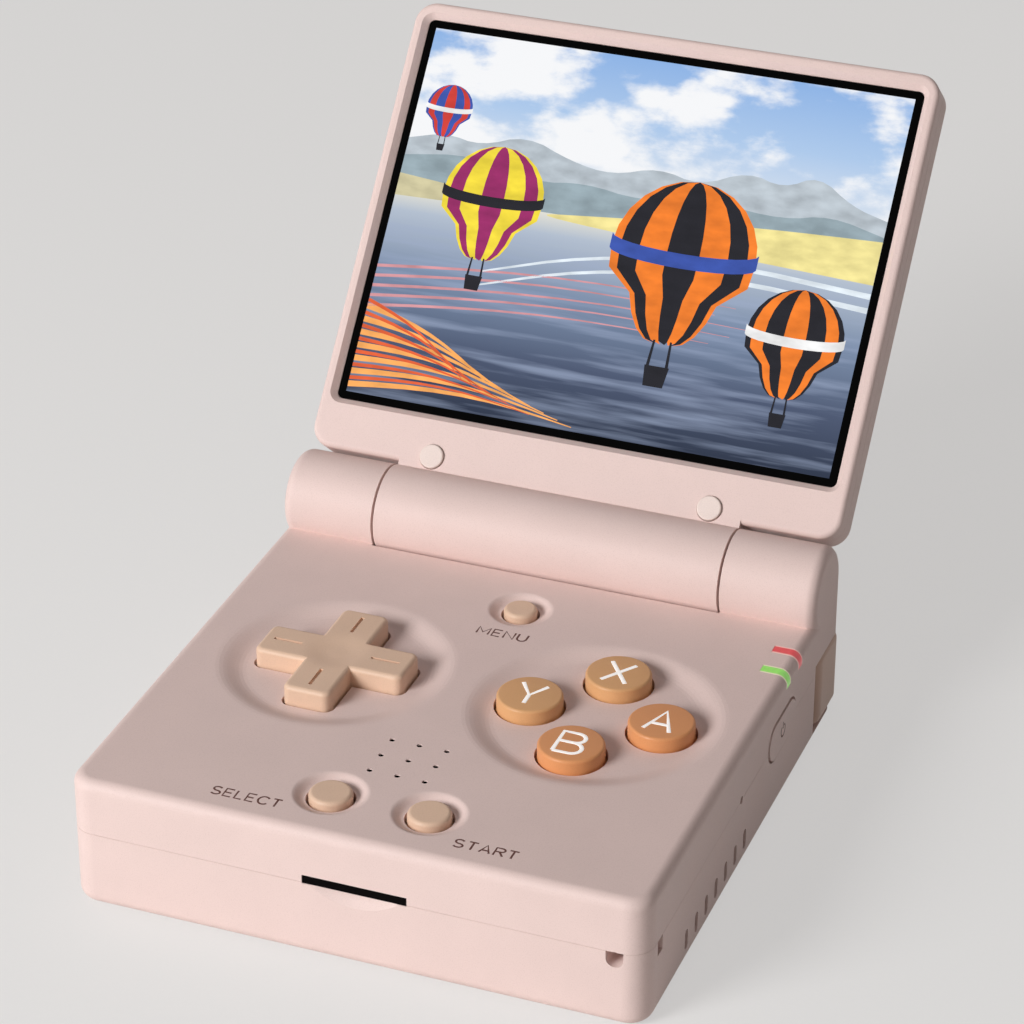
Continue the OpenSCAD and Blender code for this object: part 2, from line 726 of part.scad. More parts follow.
module bottom_case() color(SHELL) difference() {
    union() {
        difference() {
            rounded_block([case_w, case_d, seam_z - seam_gap / 2], corner_r, lower_edge_r, 0);
            case_cavity(floor_t, case_h);
            shoulder_pockets(shoulder_z0 - pocket_gap, case_h);
        }
        // Battery bay
        translate([-bay_w / 2 - bay_wall, bay_front - bay_wall, eps])
            cube([bay_w + 2 * bay_wall, bay_l + 2 * bay_wall, bay_top + bay_roof_t - eps]);
        // Screw posts, board rests and strap block
        for (p = posts) translate([p.x, p.y, eps])
            cylinder(r = post_r, h = seam_z - seam_gap / 2 - eps);
        for (sx = [-1, 1], sy = [-1, 1])
            translate([sx * rest_x, battery_y + sy * (battery_l / 2 - rest_in), bay_top])
                cylinder(r = rest_r, h = board_z - bay_top);
        strap_block(seam_z - strap_h - strap_block_h, seam_z - seam_gap / 2);
        // Bosses of the shoulder pins
        both_sides() for (x = shoulder_pins_x) translate([x, shoulder_pin_y, eps])
            cylinder(r = pin_boss_r, h = shoulder_z0 - pocket_gap + pin_boss_h);
    }
    // Inside of the battery bay, open below, with its screw boss left standing
    difference() {
        translate([-bay_w / 2, bay_front, -over]) cube([bay_w, bay_l, bay_top + over]);
        translate([0, door_screw_y, floor_t + slide_gap])
            cylinder(r = door_boss_r, h = bay_top + eps);
    }
    translate([0, door_screw_y, -eps]) cylinder(r = screw_r + fit_gap, h = bay_top - bay_roof_t);
    // Slots for the tabs of the battery door
    for (s = [-1, 1])
        translate([s * door_tab_x - door_tab_w / 2 - slide_gap, bay_rear - eps,
                   floor_t - door_tab_t - slide_gap])
            cube([door_tab_w + 2 * slide_gap, bay_wall + slide_gap, door_tab_t + 2 * slide_gap]);
    // Screws: recesses of the heads and holes of the shanks
    for (p = posts) translate([p.x, p.y, 0]) {
        translate([0, 0, -eps])
            cylinder(r = screw_head_r + slide_gap, h = screw_recess + screw_head_h + eps);
        cylinder(r = screw_r + fit_gap, h = seam_z + over);
    }
    both_sides() for (x = shoulder_pins_x) translate([x, shoulder_pin_y, pin_bottom])
        cylinder(r = shoulder_pin_r + fit_gap, h = over);
    // Vent slots
    both_sides() for (i = [0:vent_count - 1])
        translate([inner_x - 1, front_y + vent_from_front + i * vent_pitch, vent_z]) rotate([90, 90, 90])
            linear_extrude(side_wall + over) stadium(vent_h, vent_w);
    finger_notch();
    side_openings();
}

module battery_door() color(SHELL) difference() {
    union() {
        translate([0, bay_front + bay_l / 2, 0]) linear_extrude(floor_t)
            rounded_rect(bay_w - 2 * slide_gap, bay_l - 2 * slide_gap, door_corner_r);
        for (s = [-1, 1])
            translate([s * door_tab_x - door_tab_w / 2, bay_rear - door_tab_l, floor_t - door_tab_t])
                cube([door_tab_w, door_tab_l + bay_wall, door_tab_t]);
    }
    translate([0, door_screw_y, -eps])
        cylinder(r = screw_head_r + slide_gap, h = screw_recess + door_screw_head_h + eps);
    translate([0, door_screw_y, 0]) cylinder(r = screw_r + fit_gap, h = floor_t + eps);
}

// Countersunk screw drawn as a flat head with a cross recess on a plain shank
module case_screw(l, head_h) {
    difference() {
        cylinder(r = screw_head_r, h = head_h);
        for (a = [0, 90]) rotate([0, 0, a]) translate([-cross_l / 2, -cross_w / 2, -eps])
            cube([cross_l, cross_w, cross_depth]);
    }
    translate([0, 0, head_h]) cylinder(r = screw_r, h = l - head_h);
}

module battery_door_screw() color(STEEL) translate([0, door_screw_y, screw_recess])
    case_screw(bay_top - bay_roof_t - 2 * seat_gap - screw_recess, door_screw_head_h);

module case_screws() color(STEEL)
    for (p = posts) translate([p.x, p.y, screw_recess])
        case_screw(screw_end_z - screw_recess, screw_head_h);

module battery_pack() color([0.16, 0.17, 0.2])
    translate([0, battery_y, battery_z]) linear_extrude(battery_t)
        rounded_rect(battery_w, battery_l, battery_r);

// ---------- electronics ----------

module main_board() color(BOARD) translate([0, 0, board_z]) linear_extrude(board_t) difference() {
    union() {
        translate([board_gap - inner_x, front_y + side_wall + board_gap])
            square([2 * (inner_x - board_gap), cavity_rear_y - front_y - side_wall - 2 * board_gap]);
        translate([board_gap / 2 - port_bay_x, cavity_rear_y - over])
            square([2 * port_bay_x - board_gap, rear_y - side_wall - board_gap - cavity_rear_y + over]);
    }
    for (p = rear_posts) translate(p) circle(post_r + post_gap);
    // Corners left free for the front posts and the strap block
    for (s = [-1, 1]) translate([s * (inner_x + post_x - post_r - post_gap) / 2, front_y])
        square([inner_x - post_x + post_r + post_gap, 2 * (post_front + post_r + post_gap)],
               center = true);
    // Room for the power button and the volume rocker
    for (s = [-1, 1]) translate([s * inner_x, side_button_y])
        square([2 * side_room, side_button_l + 2 * side_flange_w + 2], center = true);
}

module processor_shield() color(STEEL) translate([shield_c.x, shield_c.y, board_top])
    linear_extrude(shield_h) rounded_rect(shield_w, shield_l, shield_r);

module card_socket() color(STEEL) difference() {
    translate([card_x - card_socket_size.x / 2, front_y + side_wall + seat_gap,
               board_z - card_socket_size.z]) cube(card_socket_size);
    translate([card_x - card_size.x / 2, front_y - eps, board_z - card_socket_size.z + seat_gap])
        cube(card_size);
}

module usb_c_port() color(STEEL) translate([usb_c.x, port_y + port_l, port_z]) rotate([90, 0, 0]) {
    difference() {
        linear_extrude(port_l) stadium(usb_c.y, usb_c.z);
        translate([0, 0, -eps]) linear_extrude(port_l - port_back)
            stadium(usb_c.y - 2 * port_shell, usb_c.z - 2 * port_shell);
    }
    translate([-usb_tongue.x / 2, -usb_tongue.y / 2, tongue_in])
        cube([usb_tongue.x, usb_tongue.y, port_l - tongue_in - eps]);
}

module hdmi_outline(grow) {
    w = hdmi_c.y / 2 + grow;
    h = hdmi_c.z / 2 + grow;
    polygon([[-w, h], [w, h], [w, -h / 3], [w - hdmi_chamfer, -h], [hdmi_chamfer - w, -h],
             [-w, -h / 3]]);
}

module mini_hdmi_port() color(STEEL) translate([hdmi_c.x, port_y + port_l, port_z]) rotate([90, 0, 0]) {
    difference() {
        linear_extrude(port_l) hdmi_outline(0);
        translate([0, 0, -eps]) linear_extrude(port_l - port_back) hdmi_outline(-port_shell);
    }
    translate([-hdmi_tongue.x / 2, -hdmi_tongue.y / 2, tongue_in])
        cube([hdmi_tongue.x, hdmi_tongue.y, port_l - tongue_in - eps]);
}

module headphone_socket() color(BLACK) difference() {
    translate([-side_x, jack_y, jack_z]) {
        translate([side_wall + slide_gap, -jack_w / 2, -jack_h / 2])
            cube([jack_l - slide_gap, jack_w, jack_h]);
        translate([jack_nose_in, 0, 0]) rotate([0, 90, 0])
            cylinder(r = jack_bore_r + jack_nose_wall, h = side_wall);
    }
    translate([-side_x - eps, jack_y, jack_z]) rotate([0, 90, 0])
        cylinder(r = jack_bore_r, h = jack_l + side_wall - 1);
}

module speaker() color(BLACK) translate([0, front_y + grille_from_front, plate_z - mesh_t]) {
    translate([0, 0, -speaker_h]) cylinder(r = speaker_r, h = speaker_h);
    translate([0, 0, -speaker_h - magnet_h]) cylinder(r = speaker_r / 2, h = magnet_h + eps);
}

module speaker_mesh() color([0.15, 0.15, 0.15])
    translate([0, front_y + grille_from_front, plate_z - mesh_t])
        cylinder(r = speaker_r - seat_gap, h = mesh_t);

// Small push switch: body behind the XZ plane, plunger towards +Y
module tact_switch() {
    translate([-switch_size / 2, -switch_h, -switch_size / 2])
        cube([switch_size, switch_h, switch_size]);
    rotate([-90, 0, 0]) cylinder(r = plunger_r, h = plunger_h);
}

// The same switch below the board, facing the right side
module side_switch(y) {
    translate([side_switch_x - plunger_h, y, side_switch_z]) rotate([0, 0, -90]) tact_switch();
}

module tact_switches() color([0.2, 0.2, 0.22]) {
    both_sides() for (x = shoulder_switch_x)
        translate([x, pocket_y + switch_h, (shoulder_z0 + shoulder_z1) / 2]) tact_switch();
    for (y = [side_button_y, reset_y]) side_switch(y);
    for (s = [-1, 1]) mirror([1, 0, 0]) side_switch(side_button_y + s * rocker_reach);
}

// Rubber dome between the board and a button
module dome(c, r) {
    translate([c.x, c.y, board_top]) cylinder(r = r, h = flange_z - touch_gap - board_top);
}

module dpad_membrane() color(RUBBER) difference() {
    union() {
        translate([dpad_c.x, dpad_c.y, board_top])
            cylinder(r = dpad_span / 2 + dpad_sheet_rim, h = sheet_t);
        for (a = [0:90:270]) translate([dpad_c.x, dpad_c.y, board_top]) rotate([0, 0, a])
            translate([dpad_span / 2 - dpad_dome_in, 0, 0])
                cylinder(r = dpad_dome_r, h = dpad_flange_z - touch_gap - board_top);
    }
    translate([dpad_c.x, dpad_c.y, board_top - eps]) cylinder(r = pivot_r + pivot_hole_gap, h = over);
}

module abxy_membrane() color(RUBBER) {
    for (i = [0, 1]) translate([abxy_c.x, abxy_c.y, board_top]) rotate([0, 0, 90 * i])
        linear_extrude(sheet_t)
            stadium(2 * (abxy_reach + abxy_r - abxy_sheet_in), 2 * (abxy_r - abxy_sheet_in));
    for (c = abxy_places) dome(c, abxy_r - abxy_dome_in);
}

module small_button_membrane() color(RUBBER) {
    translate([(select_c.x + start_c.x) / 2, (select_c.y + start_c.y) / 2, board_top])
        linear_extrude(sheet_t)
            rounded_rect(start_c.x - select_c.x + small_sheet.x, small_sheet.y, small_sheet_r);
    for (c = [select_c, start_c]) dome(c, small_r - small_dome_in);
}

module menu_membrane() color(RUBBER) {
    translate([menu_c.x, menu_c.y, board_top]) cylinder(r = menu_r + sheet_rim, h = sheet_t);
    dome(menu_c, menu_r - menu_dome_in);
}

// Section of a light window: it follows the case's upper right edge
module light_section(grow) {
    intersection() {
        edge_profile(side_x, case_h, 0, upper_edge_r);
        translate([light_x - grow, plate_z - grow]) square([side_x, plate_t + 2 * grow]);
    }
}

module light_slot(y) {
    translate([0, y + light_w / 2 + light_gap, 0]) rotate([90, 0, 0])
        linear_extrude(light_w + 2 * light_gap) light_section(light_gap);
}

// Window in the edge, a bar below the plate and a leg down to the lamp on the board
module light_pipe(y) {
    translate([0, y + light_w / 2, 0]) rotate([90, 0, 0]) linear_extrude(light_w) {
        light_section(0);
        translate([light_leg_x, plate_z - light_t]) square([light_x - light_leg_x + light_t, light_t]);
        translate([light_leg_x, board_top + lamp_h + seat_gap])
            square([light_t, plate_z - board_top - lamp_h - seat_gap]);
    }
}

module status_lamps() color([0.9, 0.9, 0.8]) for (y = [charge_y, power_y])
    translate([light_leg_x, y - lamp_w / 2, board_top]) cube([light_t, lamp_w, lamp_h]);

module charge_light_pipe() color([0.85, 0.27, 0.29]) light_pipe(charge_y);
module power_light_pipe() color([0.58, 0.86, 0.43]) light_pipe(power_y);

module shoulder_pins() color(STEEL) both_sides() for (x = shoulder_pins_x)
    translate([x, shoulder_pin_y, pin_bottom]) cylinder(r = shoulder_pin_r, h = pin_top - pin_bottom);

// ---------- hinge ----------

module hinge_hollow_pin() color(STEEL) at_hinge() difference() {
    rod_x(hollow_pin_r, touch_gap - pin_in_lug, -barrel_x + pin_in_barrel);
    rod_x(hollow_pin_bore_r, -pin_in_lug, -barrel_x + pin_in_barrel + eps);
}

module hinge_cam_shaft() color(STEEL) at_hinge() {
    rod_x(cam_shaft_r, barrel_x - cam_unit_len + cam_end + touch_gap, lug_x + cam_neck);
    translate([lug_x + cam_neck, -cam_key / 2 + fit_gap, -cam_key / 2 + fit_gap])
        cube([pin_in_lug - lug_x - cam_neck - touch_gap, cam_key - 2 * fit_gap, cam_key - 2 * fit_gap]);
}

module hinge_cam_unit() color([0.5, 0.51, 0.54]) in_lid() difference() {
    rod_x(cam_unit_r, barrel_x - cam_unit_len, barrel_x);
    rod_x(cam_shaft_r + fit_gap, barrel_x - cam_unit_len + cam_end, barrel_x + eps);
}

// ---------- buttons ----------

module dpad_pivot_ball() color(STEEL) translate([dpad_c.x, dpad_c.y, pivot_z]) sphere(pivot_r);

module dpad() color(TAN) translate([dpad_c.x, dpad_c.y, 0]) difference() {
    union() {
        translate([0, 0, dpad_flange_z]) {
            rounded_block([dpad_span, dpad_arm_w, dpad_top - dpad_flange_z],
                          dpad_corner_r, 0, dpad_edge_r);
            rounded_block([dpad_arm_w, dpad_span, dpad_top - dpad_flange_z],
                          dpad_corner_r, 0, dpad_edge_r);
            linear_extrude(dpad_flange_t)
                cross_outline(dpad_span + 2 * dpad_flange, dpad_arm_w + 2 * dpad_flange, dpad_flange_r);
        }
        translate([0, 0, pivot_z + touch_gap])
            cylinder(r = dpad_boss_r, h = dpad_flange_z - pivot_z - touch_gap + eps);
    }
    translate([0, 0, pivot_z]) sphere(pivot_r + fit_gap);
    // Thumb hollow in the middle and a groove on each arm
    translate([0, 0, dpad_top]) soft_dish(dpad_hollow_r, dpad_hollow_r - 1, dpad_hollow);
    for (a = [0:90:270]) rotate([0, 0, a])
        translate([groove_in, -groove_w / 2, dpad_top - groove_depth]) cube([groove_l, groove_w, over]);
}

// Round button with a rounded upper edge and a flange below the plate
module round_button(c, r, top_z, edge_r) {
    translate([c.x, c.y, flange_z]) rotate_extrude() {
        edge_profile(r, top_z - flange_z, 0, edge_r);
        square([r + flange_w, flange_t]);
    }
}

module button_a() color(ORANGE_TAN) round_button(abxy_places[0], abxy_r, abxy_top, button_edge_r);
module button_x() color(ORANGE_TAN) round_button(abxy_places[1], abxy_r, abxy_top, button_edge_r);
module button_y() color(ORANGE_TAN) round_button(abxy_places[2], abxy_r, abxy_top, button_edge_r);
module button_b() color(ORANGE_TAN) round_button(abxy_places[3], abxy_r, abxy_top, button_edge_r);

module menu_button() color(TAN) round_button(menu_c, menu_r, case_h + small_h, small_edge_r);
module select_button() color(TAN) round_button(select_c, small_r, case_h + small_h, small_edge_r);
module start_button() color(TAN) round_button(start_c, small_r, case_h + small_h, small_edge_r);

// Cap in the side wall with a flange inside, on the right
module side_button(nubs, flange_l) {
    nub_x = side_switch_x + power_travel + touch_gap;
    translate([0, side_button_y, side_button_z]) rotate([90, 0, 90]) {
        translate([0, 0, inner_x - seat_gap - side_flange_t])
            linear_extrude(side_x + side_cap_proud - inner_x + seat_gap + side_flange_t)
                stadium(side_button_l, side_button_h);
        translate([0, 0, inner_x - seat_gap - side_flange_t]) linear_extrude(side_flange_t)
            stadium(flange_l, side_button_h + 2 * side_flange_w);
        for (x = nubs) translate([x, side_switch_z - side_button_z, nub_x])
            cylinder(r = nub_r, h = inner_x - seat_gap - side_flange_t + eps - nub_x);
    }
}

module power_button() color(SHELL) side_button([0], side_button_l + 2 * side_flange_w);
module volume_rocker() color(SHELL) mirror([1, 0, 0])
    side_button([-rocker_reach, rocker_reach], rocker_flange_l);

// Hollow cap of a shoulder button on the right, with the knuckle that turns on the pin
module shoulder_button(x0, w, depth, corner) {
    h = shoulder_z1 - shoulder_z0;
    l = depth + shoulder_proud;
    pin = [x0 + shoulder_pin_in, shoulder_pin_y];
    rib_travel = (w - shoulder_rib_in - shoulder_pin_in) * sin(shoulder_turn);
    rib_y = pocket_y + switch_h + plunger_h + touch_gap + rib_travel;
    difference() {
        union() {
            difference() {
                translate([x0 + w / 2, shoulder_rear - l / 2, shoulder_z0])
                    rounded_block([w, l, h], corner, shoulder_edge_r, shoulder_edge_r);
                translate([x0 + shoulder_shell, shoulder_rear - l - eps, shoulder_z0 + shoulder_shell])
                    cube([w - 2 * shoulder_shell, l - shoulder_shell + eps, h - 2 * shoulder_shell]);
            }
            translate([pin.x, pin.y, shoulder_z0 + pin_boss_h + pin_end_gap])
                cylinder(r = knuckle_r, h = h - pin_boss_h - shoulder_shell / 2);
            // Rib that presses the switch
            translate([x0 + w - shoulder_rib_in - shoulder_rib_t / 2, rib_y,
                       shoulder_z0 + shoulder_shell - eps])
                cube([shoulder_rib_t, shoulder_rear - shoulder_shell + eps - rib_y,
                      h - 2 * shoulder_shell + 2 * eps]);
        }
        translate([pin.x, pin.y, -over]) cylinder(r = shoulder_pin_r + fit_gap, h = 2 * over + h + over);
        translate([pin.x, pin.y, -over])
            cylinder(r = pin_boss_r + pocket_gap, h = over + shoulder_z0 + pin_boss_h);
    }
}

module r1_button() color(TAN)
    shoulder_button(outer_x0, outer_shoulder_w, shoulder_depth, shoulder_corner_r);
module r2_button() color(TAN)
    shoulder_button(inner_x0, inner_shoulder_w, shoulder_depth, shoulder_edge_r);
module l1_button() mirror([1, 0, 0]) r1_button();
module l2_button() mirror([1, 0, 0]) r2_button();

// ---------- lid ----------

// Section of the hinge barrel and the neck that joins it to the lid
module barrel_section() {
    circle(barrel_r);
    translate([0, -lid_back_n]) square([neck_u, lid_back_n + rim_n]);
}

module bumper_places() {
    for (s = [-1, 1]) translate([s * (barrel_x - bumper_in), bumper_u, 0]) children();
}

// Bores of the barrel and the room for its inner parts
module barrel_bores() {
    rod_x(hollow_pin_r + fit_gap, -barrel_x - eps, barrel_x - cam_unit_len);
    rod_x(cam_unit_r + eps, barrel_x - cam_unit_len, barrel_x + eps);
    rod_x(barrel_bore_r, -barrel_x + pin_in_barrel + seat_gap, barrel_x - cam_unit_len - lid_wall);
}

module lid_bezel() color(SHELL) in_lid() difference() {
    union() {
        translate([0, lid_c, seam_gap / 2 - lid_seam_n])
            rounded_block([case_w, lid_l, rim_n + lid_seam_n - seam_gap / 2],
                          lid_corner_r, 0, lid_front_edge_r);
        along_x(-barrel_x, barrel_x) intersection() {
            barrel_section();
            translate([-barrel_r, seam_gap / 2 - lid_seam_n])
                square([barrel_r + neck_u, barrel_r + lid_seam_n]);
        }
    }
    barrel_bores();
    // Seat of the glass and window of the panel
    translate([0, picture_c, glass_n - glass_t]) linear_extrude(over)
        rounded_rect(glass_w + 2 * panel_gap, glass_h + 2 * panel_gap, glass_corner_r);
    translate([0, picture_c, glass_n])
        swept_block(glass_w + 2 * (panel_gap - glass_corner_r),
                    glass_h + 2 * (panel_gap - glass_corner_r), glass_recess + eps)
            polygon([[0, 0], [glass_corner_r, 0],
                     [glass_corner_r + bezel_flare, glass_recess + eps], [0, glass_recess + eps]]);
    translate([0, picture_c, -over]) linear_extrude(2 * over)
        square([picture_w + 4 * panel_gap, picture_h + 4 * panel_gap], center = true);
    // Seats of the bumpers and holes of the screws below them
    bumper_places() {
        translate([0, 0, rim_n - bumper_seat]) cylinder(r = bumper_r + panel_gap, h = over);
        translate([0, 0, rim_n - bumper_seat - lid_screw_head_h - panel_gap])
            cylinder(r = lid_screw_head_r + panel_gap, h = over);
        translate([0, 0, -over]) cylinder(r = lid_screw_r + fit_gap, h = 2 * over);
    }
}

module lid_back_cover() color(SHELL) in_lid() difference() {
    union() {
        difference() {
            translate([0, lid_c, -lid_back_n])
                rounded_block([case_w, lid_l, lid_back_n - lid_seam_n - seam_gap / 2],
                              lid_corner_r, lid_back_edge_r, 0);
            translate([0, lid_c, lid_wall - lid_back_n]) linear_extrude(lid_back_n)
                rounded_rect(case_w - 2 * lid_rim, lid_l - 2 * lid_rim, lid_corner_r - lid_rim);
        }
        along_x(-barrel_x, barrel_x) intersection() {
            barrel_section();
            translate([-barrel_r, -2 * barrel_r - lid_seam_n - seam_gap / 2])
                square([barrel_r + lid_near + lid_wall, 2 * barrel_r]);
        }
        bumper_places() translate([0, 0, eps - lid_back_n])
            cylinder(r = lid_boss_r, h = lid_back_n - lid_seam_n - seam_gap / 2 - eps);
    }
    barrel_bores();
    // Way of the display cable from the barrel into the lid
    translate([flex_x - flex_w / 2 - seat_gap, 0, -lid_back_n + lid_wall])
        cube([flex_w + 2 * seat_gap, neck_u, lid_back_n]);
    bumper_places() translate([0, 0, -lid_back_n + lid_screw_end])
        cylinder(r = lid_screw_r + fit_gap, h = 2 * over);
}

module display_glass() color(BLACK) in_lid() translate([0, picture_c, glass_n - glass_t])
    linear_extrude(glass_t) rounded_rect(glass_w, glass_h, glass_corner_r - panel_gap);

module display_panel() color([0.35, 0.5, 0.7]) in_lid()
    translate([-picture_w / 2, picture_u, panel_n - panel_t]) cube([picture_w, picture_h, panel_t]);

module display_flex() color([0.75, 0.5, 0.15]) in_lid()
    translate([flex_x - flex_w / 2, flex_u, panel_n - panel_t - flex_t])
        cube([flex_w, picture_u - flex_u + flex_in, flex_t]);

module lid_bumpers() color([0.93, 0.86, 0.83]) in_lid() bumper_places()
    translate([0, 0, rim_n - bumper_seat]) rotate_extrude()
        edge_profile(bumper_r, bumper_seat + bumper_h, 0, bumper_h / 2);

module lid_screws() color(STEEL) in_lid() bumper_places() {
    top = rim_n - bumper_seat - panel_gap;
    translate([0, 0, top - lid_screw_head_h]) cylinder(r = lid_screw_head_r, h = lid_screw_head_h);
    translate([0, 0, -lid_back_n + lid_screw_end + touch_gap])
        cylinder(r = lid_screw_r, h = top - lid_screw_head_h + lid_back_n - lid_screw_end - touch_gap);
}

module lid_magnet() color(STEEL) in_lid()
    translate([magnet_x, lid_near + lid_rim + magnet_r + slide_gap, lid_wall - lid_back_n])
        cylinder(r = magnet_r, h = magnet_t);

// ---------- nodes ----------

top_case();
bottom_case();
battery_door();
battery_door_screw();
case_screws();
battery_pack();
main_board();
processor_shield();
card_socket();
usb_c_port();
mini_hdmi_port();
headphone_socket();
speaker();
speaker_mesh();
tact_switches();
dpad_membrane();
abxy_membrane();
small_button_membrane();
menu_membrane();
charge_light_pipe();
power_light_pipe();
status_lamps();
shoulder_pins();
hinge_hollow_pin();
hinge_cam_shaft();
dpad_pivot_ball();
dpad();
button_a();
button_b();
button_x();
button_y();
menu_button();
select_button();
start_button();
power_button();
volume_rocker();
l1_button();
l2_button();
r1_button();
r2_button();
lid_bezel();
lid_back_cover();
display_glass();
display_panel();
display_flex();
lid_bumpers();
lid_screws();
lid_magnet();
hinge_cam_unit();
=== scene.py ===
"""Looks of a clamshell handheld game console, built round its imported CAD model."""

import json
import math

import bmesh
import bpy
from mathutils import Matrix, Vector


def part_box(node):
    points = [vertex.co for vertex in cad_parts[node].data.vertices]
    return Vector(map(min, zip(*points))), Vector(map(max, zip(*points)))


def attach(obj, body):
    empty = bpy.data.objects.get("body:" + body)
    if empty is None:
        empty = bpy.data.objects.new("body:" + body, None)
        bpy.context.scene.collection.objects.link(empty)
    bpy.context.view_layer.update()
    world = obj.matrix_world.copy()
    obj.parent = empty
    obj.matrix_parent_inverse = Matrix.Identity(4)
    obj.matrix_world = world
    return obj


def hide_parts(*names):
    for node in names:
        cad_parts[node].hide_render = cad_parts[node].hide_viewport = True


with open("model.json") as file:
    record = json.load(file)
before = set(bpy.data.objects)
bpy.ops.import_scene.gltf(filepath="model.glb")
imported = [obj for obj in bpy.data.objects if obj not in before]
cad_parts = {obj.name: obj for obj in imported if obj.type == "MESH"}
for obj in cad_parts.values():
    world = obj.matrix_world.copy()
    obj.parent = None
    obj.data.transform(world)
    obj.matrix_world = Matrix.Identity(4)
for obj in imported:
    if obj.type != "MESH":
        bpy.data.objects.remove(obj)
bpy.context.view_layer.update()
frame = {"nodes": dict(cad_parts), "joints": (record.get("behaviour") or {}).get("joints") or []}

MM = 0.001
NODES = frame["nodes"]
JOINTS = {j["name"]: j for j in frame["joints"]}


# ---------- places taken from the frame ----------

LID_OPEN = 130.2  # degrees between the screen and the button plate, 0 when shut
HINGE = Vector(JOINTS["lid_hinge"]["pos_m"])
# The lid's own frame: Y away from the hinge axis, Z out of the screen
LID = Matrix.Translation(HINGE) @ Matrix.Rotation(math.radians(180 - LID_OPEN), 4, "X")


def middle(node):
    low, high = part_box(node)
    return (Vector(low) + Vector(high)) / 2


def top_of(node):
    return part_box(node)[1][2]


PLATE_Z = 20.6 * MM  # top of the button plate


# ---------- camera and light ----------

# Fitted to the photograph: place in metres, angles in degrees, lens and sensor in millimetres
CAMERA_PLACE = (0.17107, -0.43218, 0.31217)
CAMERA_ELEVATION = 29.591
CAMERA_AZIMUTH = 20.829
CAMERA_ROLL = 0.119
CAMERA_LENS = 134.29
SENSOR_WIDTH = 36
LAMP_AIM = (0, 0, 0.05)  # point that the lamps are turned to


def make_camera():
    data = bpy.data.cameras.new("camera")
    data.sensor_width = SENSOR_WIDTH
    data.lens = CAMERA_LENS
    data.clip_start = 0.01
    data.clip_end = 20
    camera = bpy.data.objects.new("camera", data)
    camera.location = CAMERA_PLACE
    camera.rotation_euler = (Matrix.Rotation(math.radians(CAMERA_AZIMUTH), 3, "Z")
                             @ Matrix.Rotation(math.radians(90 - CAMERA_ELEVATION), 3, "X")
                             @ Matrix.Rotation(math.radians(CAMERA_ROLL), 3, "Z")).to_euler()
    bpy.context.scene.collection.objects.link(camera)
    bpy.context.scene.camera = camera


def make_lamp(name, azimuth, elevation, distance, size, power, colour=(1, 1, 1)):
    """Area lamp aimed at the object. Azimuth 0 is in front and grows to the left."""
    a, e = math.radians(azimuth), math.radians(elevation)
    out = Vector((-math.sin(a) * math.cos(e), -math.cos(a) * math.cos(e), math.sin(e)))
    data = bpy.data.lights.new(name, "AREA")
    data.shape = "DISK"
    data.size = size
    data.energy = power
    data.color = colour
    lamp = bpy.data.objects.new(name, data)
    lamp.location = Vector(LAMP_AIM) + out * distance
    lamp.rotation_euler = (-out).to_track_quat("-Z", "Y").to_euler()
    bpy.context.scene.collection.objects.link(lamp)


def srgb(red, green, blue):
    """Linear colour of an sRGB colour given in 0 to 255."""
    def linear(c):
        c /= 255
        return c / 12.92 if c <= 0.04045 else ((c + 0.055) / 1.055) ** 2.4
    return (linear(red), linear(green), linear(blue), 1)


BACKGROUND = srgb(238, 237, 236)
AMBIENT = (1, 0.93, 0.9, 1)
AMBIENT_STRENGTH = 0.175


def seen_rays(tree):
    """Socket that is 1 on the rays that show a background: camera, glossy and transmission."""
    path = tree.nodes.new("ShaderNodeLightPath")
    shown = path.outputs["Is Camera Ray"]
    for ray in ("Is Glossy Ray", "Is Transmission Ray"):
        either = tree.nodes.new("ShaderNodeMath")
        either.operation = "MAXIMUM"
        tree.links.new(shown, either.inputs[0])
        tree.links.new(path.outputs[ray], either.inputs[1])
        shown = either.outputs[0]
    return shown


def make_world():
    """Plain pale background; what lights the object is dimmer than what the camera sees."""
    world = bpy.data.worlds.new("studio")
    bpy.context.scene.world = world
    world.use_nodes = True
    tree = world.node_tree
    tree.nodes.clear()
    seen = tree.nodes.new("ShaderNodeBackground")
    seen.inputs["Color"].default_value = BACKGROUND
    ambient = tree.nodes.new("ShaderNodeBackground")
    ambient.inputs["Color"].default_value = AMBIENT
    ambient.inputs["Strength"].default_value = AMBIENT_STRENGTH
    mix = tree.nodes.new("ShaderNodeMixShader")
    out = tree.nodes.new("ShaderNodeOutputWorld")
    tree.links.new(seen_rays(tree), mix.inputs["Fac"])
    tree.links.new(ambient.outputs[0], mix.inputs[1])
    tree.links.new(seen.outputs[0], mix.inputs[2])
    tree.links.new(mix.outputs[0], out.inputs["Surface"])


# ---------- materials ----------

